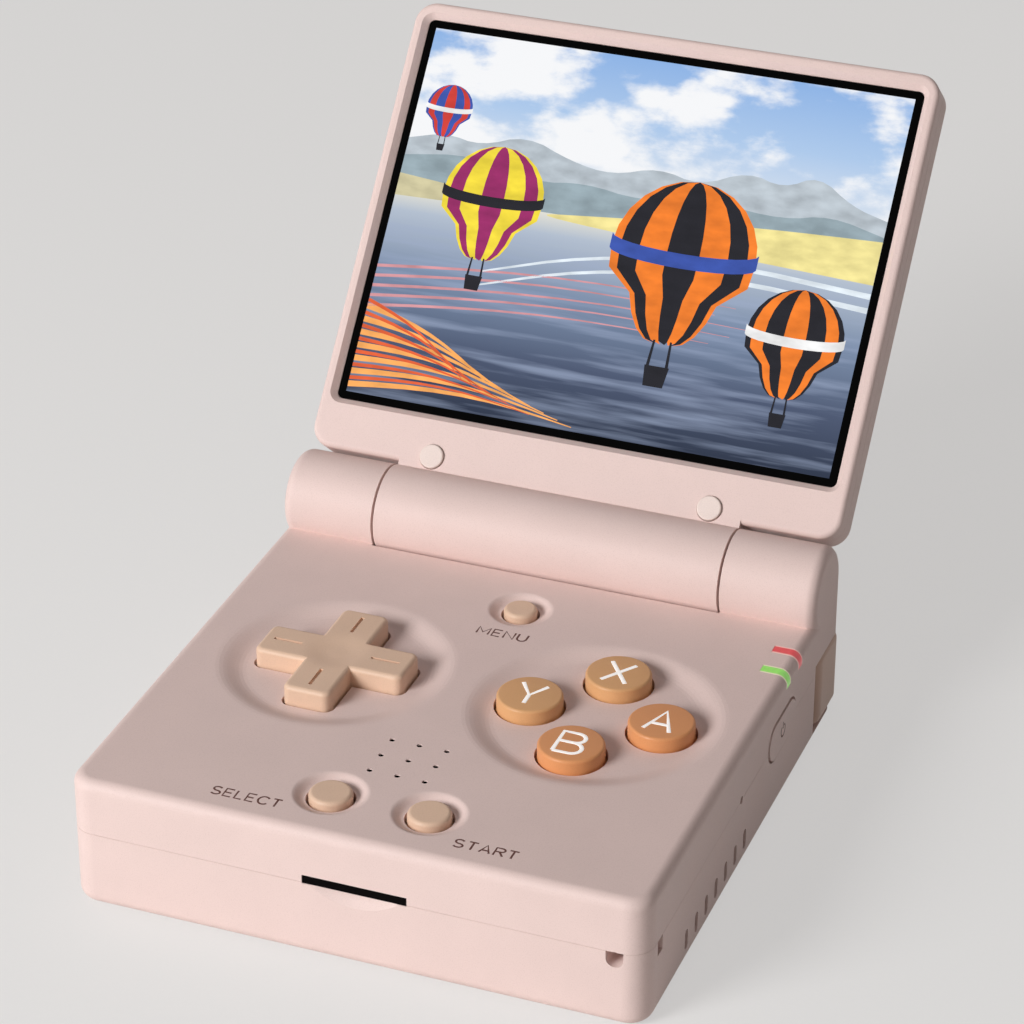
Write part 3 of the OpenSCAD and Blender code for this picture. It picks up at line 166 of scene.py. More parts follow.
class Shader:
    """Small helper that builds a Principled material from procedural nodes."""

    def __init__(self, name):
        self.material = bpy.data.materials.new(name)
        self.material.use_nodes = True
        self.tree = self.material.node_tree
        self.nodes = self.tree.nodes
        self.bsdf = self.nodes["Principled BSDF"]
        self.coords = self.nodes.new("ShaderNodeTexCoord").outputs["Object"]

    def new(self, kind, **values):
        node = self.nodes.new(kind)
        for key, value in values.items():
            setattr(node, key, value)
        return node

    def link(self, a, b):
        self.tree.links.new(a, b)

    def noise(self, size, detail=2, roughness=0.5, coords=None):
        """Noise whose grains are about size metres across."""
        node = self.new("ShaderNodeTexNoise")
        node.inputs["Scale"].default_value = 1 / size
        node.inputs["Detail"].default_value = detail
        node.inputs["Roughness"].default_value = roughness
        self.link(coords or self.coords, node.inputs["Vector"])
        return node.outputs["Fac"]

    def ranged(self, value, low, high, to_low, to_high, smooth=False):
        node = self.new("ShaderNodeMapRange")
        if smooth:
            node.interpolation_type = "SMOOTHSTEP"
        for key, number in (("From Min", low), ("From Max", high), ("To Min", to_low), ("To Max", to_high)):
            node.inputs[key].default_value = number
        self.link(value, node.inputs["Value"])
        return node.outputs["Result"]

    def ramp(self, value, stops):
        """Colour ramp; stops are (position, colour)."""
        node = self.new("ShaderNodeValToRGB")
        ramp = node.color_ramp
        while len(ramp.elements) < len(stops):
            ramp.elements.new(0.5)
        for element, (place, colour) in zip(ramp.elements, sorted(stops, key=lambda s: s[0])):
            element.position = place
            element.color = colour
        self.link(value, node.inputs["Fac"])
        return node.outputs["Color"]

    def mix(self, factor, a, b, mode="MIX"):
        """Mix of two colours; each may be a socket or a colour."""
        node = self.new("ShaderNodeMix", data_type="RGBA", blend_type=mode)
        sockets = {"Factor": node.inputs[0], "A": node.inputs[6], "B": node.inputs[7]}
        for key, value in (("Factor", factor), ("A", a), ("B", b)):
            if isinstance(value, bpy.types.NodeSocket):
                self.link(value, sockets[key])
            else:
                sockets[key].default_value = value
        return node.outputs[2]

    def math(self, operation, a, b=None):
        node = self.new("ShaderNodeMath", operation=operation)
        for socket, value in zip(node.inputs, (a, b)):
            if isinstance(value, bpy.types.NodeSocket):
                self.link(value, socket)
            elif value is not None:
                socket.default_value = value
        return node.outputs[0]

    def axes(self, coords=None):
        node = self.new("ShaderNodeSeparateXYZ")
        self.link(coords or self.coords, node.inputs[0])
        return node.outputs

    def colour(self, socket):
        self.link(socket, self.bsdf.inputs["Base Color"])

    def bump(self, height, distance, strength=1.0):
        node = self.new("ShaderNodeBump")
        node.inputs["Distance"].default_value = distance
        node.inputs["Strength"].default_value = strength
        self.link(height, node.inputs["Height"])
        self.link(node.outputs["Normal"], self.bsdf.inputs["Normal"])


def shade(colour, factor):
    return tuple(c * factor for c in colour[:3]) + (1,)


def moulded_plastic(name, colour, roughness, grain, depth, mottle=0.03, specular=0.5):
    """Moulded plastic: spark-eroded grain, a slow mottle in colour and in gloss."""
    s = Shader(name)
    slow = s.noise(11 * MM, detail=3)
    fine = s.noise(grain, detail=2, roughness=0.6)
    body = s.mix(s.ranged(slow, 0.3, 0.7, 0, 1), shade(colour, 1 - mottle), shade(colour, 1 + mottle))
    speck = s.ramp(fine, [(0.3, (0.93, 0.92, 0.915, 1)), (0.5, (1, 1, 1, 1))])
    s.colour(s.mix(1.0, body, speck, "MULTIPLY"))
    s.link(s.ranged(slow, 0.25, 0.75, roughness - 0.04, roughness + 0.05), s.bsdf.inputs["Roughness"])
    s.bsdf.inputs["Specular IOR Level"].default_value = specular
    s.bump(fine, depth)
    return s.material


def metal(name, colour, roughness, brush=0.15 * MM):
    """Metal with a fine drawn finish."""
    s = Shader(name)
    stretch = s.new("ShaderNodeMapping")
    stretch.inputs["Scale"].default_value = (0.08, 1, 1)
    s.link(s.coords, stretch.inputs["Vector"])
    lines = s.noise(brush, detail=3, coords=stretch.outputs[0])
    s.colour(s.mix(s.ranged(lines, 0.3, 0.7, 0, 1), shade(colour, 0.9), shade(colour, 1.05)))
    s.bsdf.inputs["Metallic"].default_value = 1
    s.link(s.ranged(lines, 0.3, 0.7, roughness - 0.06, roughness + 0.08), s.bsdf.inputs["Roughness"])
    s.bump(lines, 0.002 * MM)
    return s.material


def rubber(name, colour, roughness=0.7):
    s = Shader(name)
    fine = s.noise(0.12 * MM, detail=3)
    s.colour(s.mix(s.ranged(fine, 0.3, 0.7, 0, 1), shade(colour, 0.94), shade(colour, 1.04)))
    gloss = s.ranged(s.noise(4 * MM), 0.3, 0.7, roughness - 0.06, roughness + 0.06)
    s.link(gloss, s.bsdf.inputs["Roughness"])
    s.bump(fine, 0.004 * MM)
    return s.material


def circuit_board(name):
    """Green solder resist with copper tracks below it."""
    s = Shader(name)
    cells = s.new("ShaderNodeTexVoronoi", feature="DISTANCE_TO_EDGE")
    cells.inputs["Scale"].default_value = 260
    s.link(s.coords, cells.inputs["Vector"])
    track = s.ranged(cells.outputs["Distance"], 0.02, 0.06, 1, 0)
    s.colour(s.mix(track, srgb(22, 92, 58), srgb(48, 128, 78)))
    s.bsdf.inputs["Roughness"].default_value = 0.35
    s.bump(track, 0.02 * MM)
    return s.material


def lit_window(name, colour, glow, node=None):
    """Translucent window with a lamp behind it; the ends of a node's window are paler."""
    s = Shader(name)
    cloudy = s.noise(0.8 * MM, detail=2)
    body = s.mix(s.ranged(cloudy, 0.3, 0.7, 0, 1), shade(colour, 0.92), shade(colour, 1.06))
    if node:
        low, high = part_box(node)
        across = s.math("ABSOLUTE", s.math("SUBTRACT", s.axes()[1], (low[1] + high[1]) / 2))
        rim = s.ranged(across, (high[1] - low[1]) * 0.3, (high[1] - low[1]) * 0.5, 0, 0.75, True)
        body = s.mix(rim, body, srgb(240, 214, 204))
    s.colour(body)
    s.link(body, s.bsdf.inputs["Emission Color"])
    s.bsdf.inputs["Emission Strength"].default_value = glow
    s.bsdf.inputs["Roughness"].default_value = 0.28
    s.bump(cloudy, 0.01 * MM)
    return s.material


def bright_ink(name, colour, glow):
    """Bright print, with a little light of its own so that it stays white in the shade."""
    s = Shader(name)
    grain = s.noise(0.3 * MM, detail=2)
    s.colour(s.mix(grain, shade(colour, 0.96), colour))
    s.bsdf.inputs["Emission Color"].default_value = colour
    s.bsdf.inputs["Emission Strength"].default_value = glow
    s.bsdf.inputs["Roughness"].default_value = 0.45
    return s.material


def cover_glass(name):
    """Black printed glass with the faintest smears on it."""
    s = Shader(name)
    smear = s.noise(7 * MM, detail=4)
    s.colour(s.mix(smear, srgb(1, 1, 1), srgb(3, 3, 3)))
    s.link(s.ranged(smear, 0.3, 0.7, 0.06, 0.16), s.bsdf.inputs["Roughness"])
    s.bsdf.inputs["Specular IOR Level"].default_value = 0.03
    return s.material


def film_wrap(name, colour):
    """Thin film, slightly creased: the battery's wrap and the display cable."""
    s = Shader(name)
    crease = s.noise(3 * MM, detail=4)
    s.colour(s.mix(crease, shade(colour, 0.85), shade(colour, 1.2)))
    s.link(s.ranged(crease, 0.3, 0.7, 0.25, 0.45), s.bsdf.inputs["Roughness"])
    s.bump(crease, 0.08 * MM)
    return s.material


SHELL_RGB = srgb(237, 213, 207)
TAN_RGB = srgb(234, 200, 174)


def make_materials():
    return {
        "shell": moulded_plastic("shell_plastic", SHELL_RGB, roughness=0.5, grain=0.16 * MM,
                                 depth=0.0035 * MM, mottle=0.02, specular=0.22),
        "tan": moulded_plastic("tan_plastic", TAN_RGB, roughness=0.42, grain=0.14 * MM,
                               depth=0.004 * MM, specular=0.3),
        # Shoulder buttons are the same tan as the D-pad; this darker copy of it is painted shade
        "shoulder": moulded_plastic("shoulder_tan_painted_shade", srgb(206, 170, 150), roughness=0.42,
                                    grain=0.14 * MM, depth=0.004 * MM),
        "letter_key": moulded_plastic("letter_key_plastic", srgb(228, 174, 122), roughness=0.38,
                                      grain=0.14 * MM, depth=0.003 * MM, specular=0.3),
        "warm_key": moulded_plastic("warm_key_plastic", srgb(232, 160, 106), roughness=0.38,
                                    grain=0.14 * MM, depth=0.003 * MM, specular=0.3),
        # Near-black: the dark plastic of the card socket, speaker mesh and tact switches, and painted shade
        # in the recesses they sit in, the card slot and the grille holes
        "shade_black": moulded_plastic("dark_parts_painted_shade", srgb(14, 12, 12), roughness=0.9, grain=0.2 * MM,
                               depth=0.006 * MM, mottle=0.1, specular=0.02),
        "glass": cover_glass("cover_glass"),
        "black": moulded_plastic("black_plastic", srgb(24, 24, 26), roughness=0.5, grain=0.2 * MM,
                                 depth=0.006 * MM),
        "steel": metal("steel", srgb(200, 202, 206), roughness=0.32),
        "dark_steel": metal("dark_steel", srgb(120, 122, 128), roughness=0.4),
        "rubber": rubber("silicone_rubber", srgb(205, 205, 200)),
        "bumper": rubber("bumper_rubber", srgb(238, 220, 212), roughness=0.5),
        "board": circuit_board("circuit_board"),
        "red": lit_window("red_window", srgb(214, 66, 72), glow=0.3, node="charge_light_pipe"),
        "green": lit_window("green_window", srgb(140, 214, 96), glow=0.35, node="power_light_pipe"),
        "lamp": lit_window("lamp_resin", srgb(240, 240, 220), glow=0.2),
        "battery": film_wrap("battery_film", srgb(52, 54, 62)),
        "flex": film_wrap("polyimide_film", srgb(196, 128, 52)),
        "ink": bright_ink("white_ink", srgb(248, 244, 240), glow=0.35),
        # Legends and power sign: dark strokes standing proud, painted shade that stands in for engraved
        # grooves
        "legend": moulded_plastic("legend_painted_groove_shade", srgb(112, 78, 72), roughness=0.6, grain=0.1 * MM,
                                  depth=0.002 * MM, mottle=0.02, specular=0.1),
    }


def dress(materials):
    """Gives each CAD node its finish."""
    groups = {
        "shell": ["top_case", "bottom_case", "battery_door", "lid_bezel", "lid_back_cover",
                  "power_button", "volume_rocker"],
        "shoulder": ["l1_button", "l2_button", "r1_button", "r2_button"],
        "tan": ["dpad", "menu_button", "select_button", "start_button"],
        "steel": ["battery_door_screw", "case_screws", "processor_shield", "usb_c_port",
                  "mini_hdmi_port", "shoulder_pins", "hinge_hollow_pin", "lid_screws",
                  "lid_magnet", "dpad_pivot_ball"],
        "dark_steel": ["hinge_cam_shaft", "hinge_cam_unit"],
        "black": ["headphone_socket", "speaker", "display_panel"],
        # Dark parts whose near-black also paints the shade of the recesses they sit in
        "shade_black": ["card_socket", "speaker_mesh", "tact_switches"],
        "glass": ["display_glass"],
        "rubber": ["dpad_membrane", "abxy_membrane", "small_button_membrane", "menu_membrane"],
        "bumper": ["lid_bumpers"],
        "board": ["main_board"],
        "battery": ["battery_pack"],
        "flex": ["display_flex"],
        "red": ["charge_light_pipe"],
        "green": ["power_light_pipe"],
        "lamp": ["status_lamps"],
    }
    for key, names in groups.items():
        for name in names:
            mesh = NODES[name].data
            mesh.materials.clear()
            mesh.materials.append(materials[key])


# ---------- letters and signs drawn with round strokes ----------

def arc(x, y, rx, ry, start, end, steps=10):
    """Points of an elliptical arc, angles in degrees."""
    angles = [math.radians(start + (end - start) * i / steps) for i in range(steps + 1)]
    return [(x + rx * math.cos(a), y + ry * math.sin(a)) for a in angles]


# Width as a share of the height, and the lines in a box from 0 to 1
LETTERS = {
    "A": (0.76, [[(0, 0), (0.5, 1), (1, 0)], [(0.19, 0.33), (0.81, 0.33)]]),
    "B": (0.72, [[(0, 0), (0, 1)] + arc(0.56, 0.765, 0.36, 0.235, 90, -90) + [(0, 0.53)],
                 [(0.5, 0.53)] + arc(0.6, 0.265, 0.4, 0.265, 90, -90) + [(0, 0)]]),
    "C": (0.78, [arc(0.55, 0.5, 0.55, 0.5, 40, 320, 24)]),
    "E": (0.62, [[(1, 1), (0, 1), (0, 0), (1, 0)], [(0, 0.51), (0.86, 0.51)]]),
    "L": (0.56, [[(0, 1), (0, 0), (1, 0)]]),
    "M": (0.9, [[(0, 0), (0, 1), (0.5, 0.25), (1, 1), (1, 0)]]),
    "N": (0.76, [[(0, 0), (0, 1), (1, 0), (1, 1)]]),
    "R": (0.68, [[(0, 0), (0, 1)] + arc(0.6, 0.76, 0.4, 0.24, 90, -90) + [(0, 0.52)],
                 [(0.5, 0.52), (1, 0)]]),
    "S": (0.68, [arc(0.5, 0.745, 0.46, 0.255, 30, 270, 14) + arc(0.5, 0.245, 0.5, 0.245, 90, -150, 14)]),
    "T": (0.66, [[(0, 1), (1, 1)], [(0.5, 1), (0.5, 0)]]),
    "U": (0.72, [[(0, 1), (0, 0.36)] + arc(0.5, 0.36, 0.5, 0.36, 180, 360, 12) + [(1, 1)]]),
    "X": (0.8, [[(0, 0), (1, 1)], [(0, 1), (1, 0)]]),
    "Y": (0.78, [[(0, 1), (0.5, 0.44), (1, 1)], [(0.5, 0.44), (0.5, 0)]]),
}


def add_piece(name, mesh, material, body):
    """Puts a finished mesh in the scene, lets it ride on a body and names the finish that it takes."""
    mesh.materials.clear()
    mesh.materials.append(material)
    piece = bpy.data.objects.new(name, mesh)
    bpy.context.scene.collection.objects.link(piece)
    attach(piece, body)
    return piece


def strokes(name, lines, width, proud, place, material, body):
    """Round strokes along lines in the XY plane of place, flattened to stand proud of it."""
    curve = bpy.data.curves.new(name, "CURVE")
    curve.dimensions = "3D"
    curve.twist_mode = "Z_UP"
    curve.bevel_depth = width / 2
    curve.bevel_resolution = 2
    curve.use_fill_caps = True
    for line in lines:
        spline = curve.splines.new("POLY")
        spline.points.add(len(line) - 1)
        for point, (x, y) in zip(spline.points, line):
            point.co = (x, y, 0, 1)
    source = bpy.data.objects.new(name + "_curve", curve)
    bpy.context.scene.collection.objects.link(source)
    bpy.context.view_layer.update()
    mesh = bpy.data.meshes.new_from_object(source.evaluated_get(bpy.context.evaluated_depsgraph_get()))
    bpy.data.objects.remove(source)
    mesh.transform(place @ Matrix.Diagonal((1, 1, 2 * proud / width, 1)))
    return add_piece(name, mesh, material, body)


def word_lines(text, width, height, gap=0.3):
    """Lines of a word, centred, drawn to a width and a height between the strokes' middles."""
    lines, x = [], 0
    for letter in text:
        share, shape = LETTERS[letter]
        lines += [[(x + share * a, b) for a, b in line] for line in shape]
        x += share + gap
    x -= gap
    return [[((a / x - 0.5) * width, (b - 0.5) * height) for a, b in line] for line in lines]


def flat_at(x, y, z):
    return Matrix.Translation((x, y, z))


CAP_EDGE = 0.45 * MM    # radius of a cap's upper edge
CAP_FLANGE = 1.1 * MM   # width and height of the flange below the plate
CAP_TURNS = 96
SMOOTH_ANGLE = math.radians(35)


def turned(name, profile, x, y, material, body):
    """Closed body of revolution about the upright line through x, y.

    The profile is a list of (radius, height) that starts and ends on the axis.
    """
    grid = bmesh.new()
    rings = []
    for radius, height in profile:
        if radius == 0:
            rings.append([grid.verts.new((x, y, height))] * CAP_TURNS)
        else:
            rings.append([grid.verts.new((x + radius * math.cos(2 * math.pi * i / CAP_TURNS),
                                          y + radius * math.sin(2 * math.pi * i / CAP_TURNS), height))
                          for i in range(CAP_TURNS)])
    for low, high in zip(rings, rings[1:]):
        for i in range(CAP_TURNS):
            j = (i + 1) % CAP_TURNS
            corners = []
            for vert in (low[i], low[j], high[j], high[i]):
                if vert not in corners:
                    corners.append(vert)
            grid.faces.new(corners)
    bmesh.ops.recalc_face_normals(grid, faces=grid.faces)
    mesh = bpy.data.meshes.new(name)
    grid.to_mesh(mesh)
    grid.free()
    mesh.shade_smooth()
    mesh.set_sharp_from_angle(angle=SMOOTH_ANGLE)
    return add_piece(name, mesh, material, body)


def make_caps(materials):
    """Letter buttons with the crisp upper edge that the moulded caps have."""
    for letter in "abxy":
        node = "button_" + letter
        low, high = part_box(node)
        c = middle(node)
        flange_r = (high[0] - low[0]) / 2
        r, step = flange_r - CAP_FLANGE, low[2] + CAP_FLANGE
        profile = [(0, low[2]), (flange_r, low[2]), (flange_r, step), (r, step)]
        profile += [(r - CAP_EDGE + a, high[2] - CAP_EDGE + b)
                    for a, b in arc(0, 0, CAP_EDGE, CAP_EDGE, 0, 90, 6)] + [(0, high[2])]
        key = "warm_key" if letter in "ab" else "letter_key"
        cap = turned("cap_" + letter, profile, c.x, c.y, materials[key], node)
        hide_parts(node)


LETTER_WIDTHS = {"a": 4.5 * MM, "b": 4.5 * MM, "x": 4.3 * MM, "y": 4.4 * MM}
LETTER_HEIGHT = 5.8 * MM
LETTER_STROKE = 0.64 * MM
LETTER_PROUD = 0.04 * MM
LEGEND_HEIGHT = 2.1 * MM
LEGEND_STROKE = 0.3 * MM
LEGEND_PROUD = 0.02 * MM
SIGN_R = 0.95 * MM      # ring of the power sign
# name: text, width, centre from the middle of the button that it names
LEGENDS = {
    "menu": ("MENU", 7.9 * MM, (0 * MM, -7.5 * MM)),
    "select": ("SELECT", 10.4 * MM, (-10.4 * MM, -5.0 * MM)),
    "start": ("START", 9.3 * MM, (10.2 * MM, -5.2 * MM)),
}


def make_letters(materials):
    for letter, width in LETTER_WIDTHS.items():
        body = "button_" + letter
        c = middle(body)
        lines = word_lines(letter.upper(), width - LETTER_STROKE, LETTER_HEIGHT - LETTER_STROKE)
        strokes("letter_" + letter, lines, LETTER_STROKE, LETTER_PROUD,
                flat_at(c.x, c.y, top_of(body)), materials["ink"], body)
    # The legends' dark colour is painted groove shade
    for name, (text, width, (dx, dy)) in LEGENDS.items():
        c = middle(name + "_button")
        lines = word_lines(text, width - LEGEND_STROKE, LEGEND_HEIGHT - LEGEND_STROKE)
        strokes("legend_" + name, lines, LEGEND_STROKE, LEGEND_PROUD,
                flat_at(c.x + dx, c.y + dy, PLATE_Z), materials["legend"], "base")


def make_power_sign(materials):
    """Ring and bar on the power button, seen from the right side."""
    c = middle("power_button")
    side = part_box("power_button")[1][0]
    place = Matrix(((0, 0, 1, side), (1, 0, 0, c.y), (0, 1, 0, c.z), (0, 0, 0, 1)))
    lines = [arc(0, 0, SIGN_R, SIGN_R, 125, 415, 24), [(0, 0.35 * SIGN_R), (0, 1.45 * SIGN_R)]]
    # Takes the legends' dark colour, which is painted groove shade
    strokes("power_sign", lines, LEGEND_STROKE, LEGEND_PROUD, place, materials["legend"],
            "power_button")


# ---------- painted shade in the card slot and the grille holes ---

# Block of painted shade in the card slot
SLOT_X = (-7.18 * MM, 8.18 * MM)
SLOT_Z = (11.92 * MM, 13.28 * MM)
SLOT_IN = (0.12 * MM, 2.6 * MM)  # from the front face
GRILLE_SIDE = 3                   # holes along each side of the grille
GRILLE_PITCH = 4.1 * MM
GRILLE_Y = 21 * MM                # middle of the grille from the front face
# Plugs of painted shade in the holes of the speaker grille
HOLE_SHADE_R = 0.4 * MM
HOLE_SHADE_Z = (-1.9 * MM, -0.2 * MM)  # from the button plate
HOLE_SHADE_TURNS = 24


def make_painted_shade_fills(materials):
    """Painted shade: a black block in the card slot and black plugs in the holes of the speaker grille stand
    in for the shade inside them.
    """
    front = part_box("bottom_case")[0][1]
    grid = bmesh.new()
    bmesh.ops.create_cube(grid, size=1)
    for vert in grid.verts:
        for axis, (low, high) in enumerate((SLOT_X, (front + SLOT_IN[0], front + SLOT_IN[1]), SLOT_Z)):
            vert.co[axis] = high if vert.co[axis] > 0 else low
    slot_shade = bpy.data.meshes.new("card_slot_painted_shade")
    grid.to_mesh(slot_shade)
    grid.clear()
    mid = (GRILLE_SIDE - 1) / 2
    for i in range(GRILLE_SIDE ** 2):
        row, column = divmod(i, GRILLE_SIDE)
        x, y = (column - mid) * GRILLE_PITCH, front + GRILLE_Y + (row - mid) * GRILLE_PITCH
        place = Matrix.Translation((x, y, PLATE_Z + sum(HOLE_SHADE_Z) / 2))
        bmesh.ops.create_cone(grid, cap_ends=True, segments=HOLE_SHADE_TURNS, radius1=HOLE_SHADE_R,
                              radius2=HOLE_SHADE_R, depth=HOLE_SHADE_Z[1] - HOLE_SHADE_Z[0], matrix=place)
    hole_shade = bpy.data.meshes.new("grille_hole_painted_shade")
    grid.to_mesh(hole_shade)
    grid.free()
    # Both pieces are painted shade, not parts of the console
    add_piece("card_slot_painted_shade", slot_shade, materials["shade_black"], "base")
    add_piece("grille_hole_painted_shade", hole_shade, materials["shade_black"], "base")


# ---------- picture on the screen ----------

# In millimetres in the lid's own frame
PICTURE_X = 38.9          # half the width
PICTURE_U = (16.7, 76.2)  # from the hinge axis to the lower and upper edge
PICTURE_H = 59.5
PICTURE_N = 0.21          # lowest layer, just over the glass
LAYER = 0.02              # from one layer to the next
SHEET_T = 0.012
SCENERY_T = 0.018

GORE_CUTS = (-90, -62, -38, -13, 13, 38, 62, 90)  # edges of a balloon's stripes, in degrees
GORE_STEP = 15
WAIST = -0.35             # sine below which a balloon narrows to its neck
NECK = (0.55, 0.13)       # share of the circle there, and what is added to it
DROP = 1.25               # the lower half of a balloon is longer than a circle's by this
# In radii of the balloon, heights counted down from its middle
BELT_R = 1.02             # half the belt's width
BELT_END = 0.06           # lower edge of the belt at its ends
BELT_SAG = 0.14           # and what it hangs lower in the middle
BELT_H = 0.2
BASKET_R = 0.17           # half the basket's width at the top
BASKET_TOP = 1.55
BASKET_LOW = 1.83
ROPES_TOP = 1.2

STREAK_STEPS = 8
STREAK_TAPER = 0.85       # share of its width that a streak loses on its way


def sheet(name, outlines, level, material, thick=SHEET_T):
    """Thin closed plates lying on the screen; level counts the layers.

    Outlines are in millimetres, first from the middle of the picture to its left, so X is
    mirrored, and then up from its lower edge. What runs past the picture is cut off.
    """
    grid = bmesh.new()
    low = PICTURE_N + LAYER * level
    for outline in outlines:
        points = [(-min(max(x, -PICTURE_X), PICTURE_X), PICTURE_U[0] + min(max(v, 0), PICTURE_H))
                  for x, v in outline]
        under = [grid.verts.new((x, u, low)) for x, u in points]
        above = [grid.verts.new((x, u, low + thick)) for x, u in points]
        grid.faces.new(above)
        grid.faces.new(list(reversed(under)))
        for i in range(len(points)):
            j = (i + 1) % len(points)
            grid.faces.new((under[i], under[j], above[j], above[i]))
    bmesh.ops.recalc_face_normals(grid, faces=grid.faces)
    mesh = bpy.data.meshes.new(name)
    grid.to_mesh(mesh)
    grid.free()
    mesh.transform(LID @ Matrix.Scale(MM, 4))
    return add_piece(name, mesh, material, "lid")


def eased(points, rounds=2):
    """Line with its corners cut off, so that it runs smoothly."""
    for _ in range(rounds):
        line = [points[0]]
        for (x0, v0), (x1, v1) in zip(points, points[1:]):
            line += [(0.75 * x0 + 0.25 * x1, 0.75 * v0 + 0.25 * v1),
                     (0.25 * x0 + 0.75 * x1, 0.25 * v0 + 0.75 * v1)]
        points = line + [points[-1]]
    return points


def ridge(tops, bottom):
    """Outline of hills: a line of tops closed along a level bottom."""
    return [(tops[0][0], bottom), *eased(tops), (tops[-1][0], bottom)]


def gore(cx, cy, r, a, b):
    """Stripe of a balloon between two angles seen from the side."""
    heights = [(math.cos(math.radians(t)), math.sin(math.radians(t)))
               for t in range(90, -91, -GORE_STEP)]

    def edge(angle):
        line = []
        for c, s in heights:
            taper = c if s > WAIST else c * NECK[0] + NECK[1]
            line.append((cx + r * taper * math.sin(math.radians(angle)),
                         cy + r * s * (1 if s > 0 else DROP)))
        return line
    return edge(a) + list(reversed(edge(b)))[1:-1]


def balloon(name, cx, cy, r, level, skin, stripe, band, dark):
    """Hot-air balloon: striped envelope, belt, ropes and basket."""
    gores = [gore(cx, cy, r, a, b) for a, b in zip(GORE_CUTS, GORE_CUTS[1:])]
    sheet(name + "_skin", gores[0::2], level, skin)
    sheet(name + "_stripes", gores[1::2], level, stripe)
    belt = [(cx + r * BELT_R * math.sin(math.radians(a)),
             cy - BELT_END * r - BELT_SAG * r * math.cos(math.radians(a)))
            for a in range(-90, 91, GORE_STEP)]
    sheet(name + "_belt", [belt + [(x, v + BELT_H * r) for x, v in reversed(belt)]], level + 1, band)
    w, top, low = BASKET_R * r, cy - BASKET_TOP * r, cy - BASKET_LOW * r
    ropes = [[(cx + s * w * 0.9, top), (cx + s * r * 0.13, cy - ROPES_TOP * r),
              (cx + s * r * 0.1, cy - ROPES_TOP * r), (cx + s * w * 0.65, top)] for s in (-1, 1)]
    basket = [(cx - w, top), (cx + w, top), (cx + 0.8 * w, low), (cx - 0.8 * w, low)]
    sheet(name + "_basket", ropes + [basket], level + 1, dark)


def ribbon(points, widths):
    """Outline of a band along points with a width at each."""
    left, right = [], []
    for i, (x, v) in enumerate(points):
        a, b = points[max(i - 1, 0)], points[min(i + 1, len(points) - 1)]
        run = Vector((b[0] - a[0], b[1] - a[1])).normalized() * widths[i] / 2
        left.append((x - run.y, v + run.x))
        right.append((x + run.y, v - run.x))
    return left + list(reversed(right))


def streak(x0, v0, x1, v1, bend, wide):
    """Ribbon that swings from one point to another on the water and tapers towards the second."""
    points, widths = [], []
    for i in range(STREAK_STEPS + 1):
        t = i / STREAK_STEPS
        points.append((x0 + (x1 - x0) * t, v0 + (v1 - v0) * t + bend * math.sin(math.pi * t)))
        widths.append(wide * (1 - STREAK_TAPER * i / STREAK_STEPS))
    return ribbon(points, widths)


def make_picture(paint):
    """A lake with hot-air balloons: sky and water on one plate, everything else in layers on it."""
    w = PICTURE_X
    plate = [(-w, 0), (w, 0), (w, PICTURE_H), (-w, PICTURE_H)]
    sheet("picture_scenery", [plate], 0, paint["scenery"], SCENERY_T)
    far = [(-w, 40), (-33, 41.5), (-27, 45.5), (-22, 42.6), (-16, 44.4), (-9, 41), (-2, 42.8), (5, 40.5),
           (12, 41.6), (20, 44.6), (27, 41.8), (33, 43), (w, 41.4)]
    near = [(-w, 37.5), (-30, 39.6), (-23, 37.8), (-12, 38.8), (0, 37.2), (9, 38.6), (17, 37.4), (28, 40.2),
            (w, 38.6)]
    sheet("picture_far_hills", [ridge(far, 34)], 1, paint["far"])
    sheet("picture_near_hills", [ridge(near, 33)], 2, paint["near"])
    field = eased([(-w, 36.8), (-20, 36), (-4, 34.6), (8, 33.4), (16, 32.6), (6, 31.8), (-12, 31), (-w, 30)])
    sheet("picture_field", [field], 3, paint["field"])
    shore = eased([(w, 35.6), (24, 34.4), (15, 33), (24, 32.4), (w, 32)])
    sheet("picture_shore", [shore], 3, paint["shore"])
    wake = []
    for k in (0, 2.2):
        line = eased([(-w, 26 + k), (-14, 27.5 + k), (6, 25 + k), (22, 20 + k)])
        wake.append(ribbon(line, [0.9 - 0.7 * i / len(line) for i in range(len(line))]))
    sheet("picture_wakes", wake, 4, paint["foam"])
    rose = [streak(w, 14 + 1.6 * k, -16 - 3 * (k % 3), 17 + 1.5 * k, bend=1.4, wide=0.5) for k in range(5)]
    sheet("picture_rose_streaks", rose, 4, paint["rose"])
    gold = [streak(w, 1.2 + 2.1 * k, 2 + 2.4 * k, 0.6 + 0.7 * k, bend=1.6, wide=0.95) for k in range(7)]
    amber = [streak(w, 2.2 + 2.1 * k, 9 + 2 * k, 1.4 + 0.6 * k, bend=1.3, wide=0.6) for k in range(7)]
    sheet("picture_gold_streaks", gold, 4, paint["gold"])
    sheet("picture_amber_streaks", amber, 5, paint["amber"])
    soot = paint["soot"]
    balloon("picture_big_balloon", cx=-9, cy=30, r=11.5, level=7,
            skin=paint["orange"], stripe=soot, band=paint["blue"], dark=soot)
    balloon("picture_low_balloon", cx=-29, cy=20, r=7.6, level=9,
            skin=soot, stripe=paint["orange"], band=paint["white"], dark=soot)
    balloon("picture_yellow_balloon", cx=23, cy=34, r=8.2, level=7,
            skin=paint["yellow"], stripe=paint["magenta"], band=soot, dark=soot)
    balloon("picture_small_balloon", cx=33.5, cy=47, r=3.8, level=6,
            skin=paint["blue"], stripe=paint["red"], band=paint["white"], dark=soot)


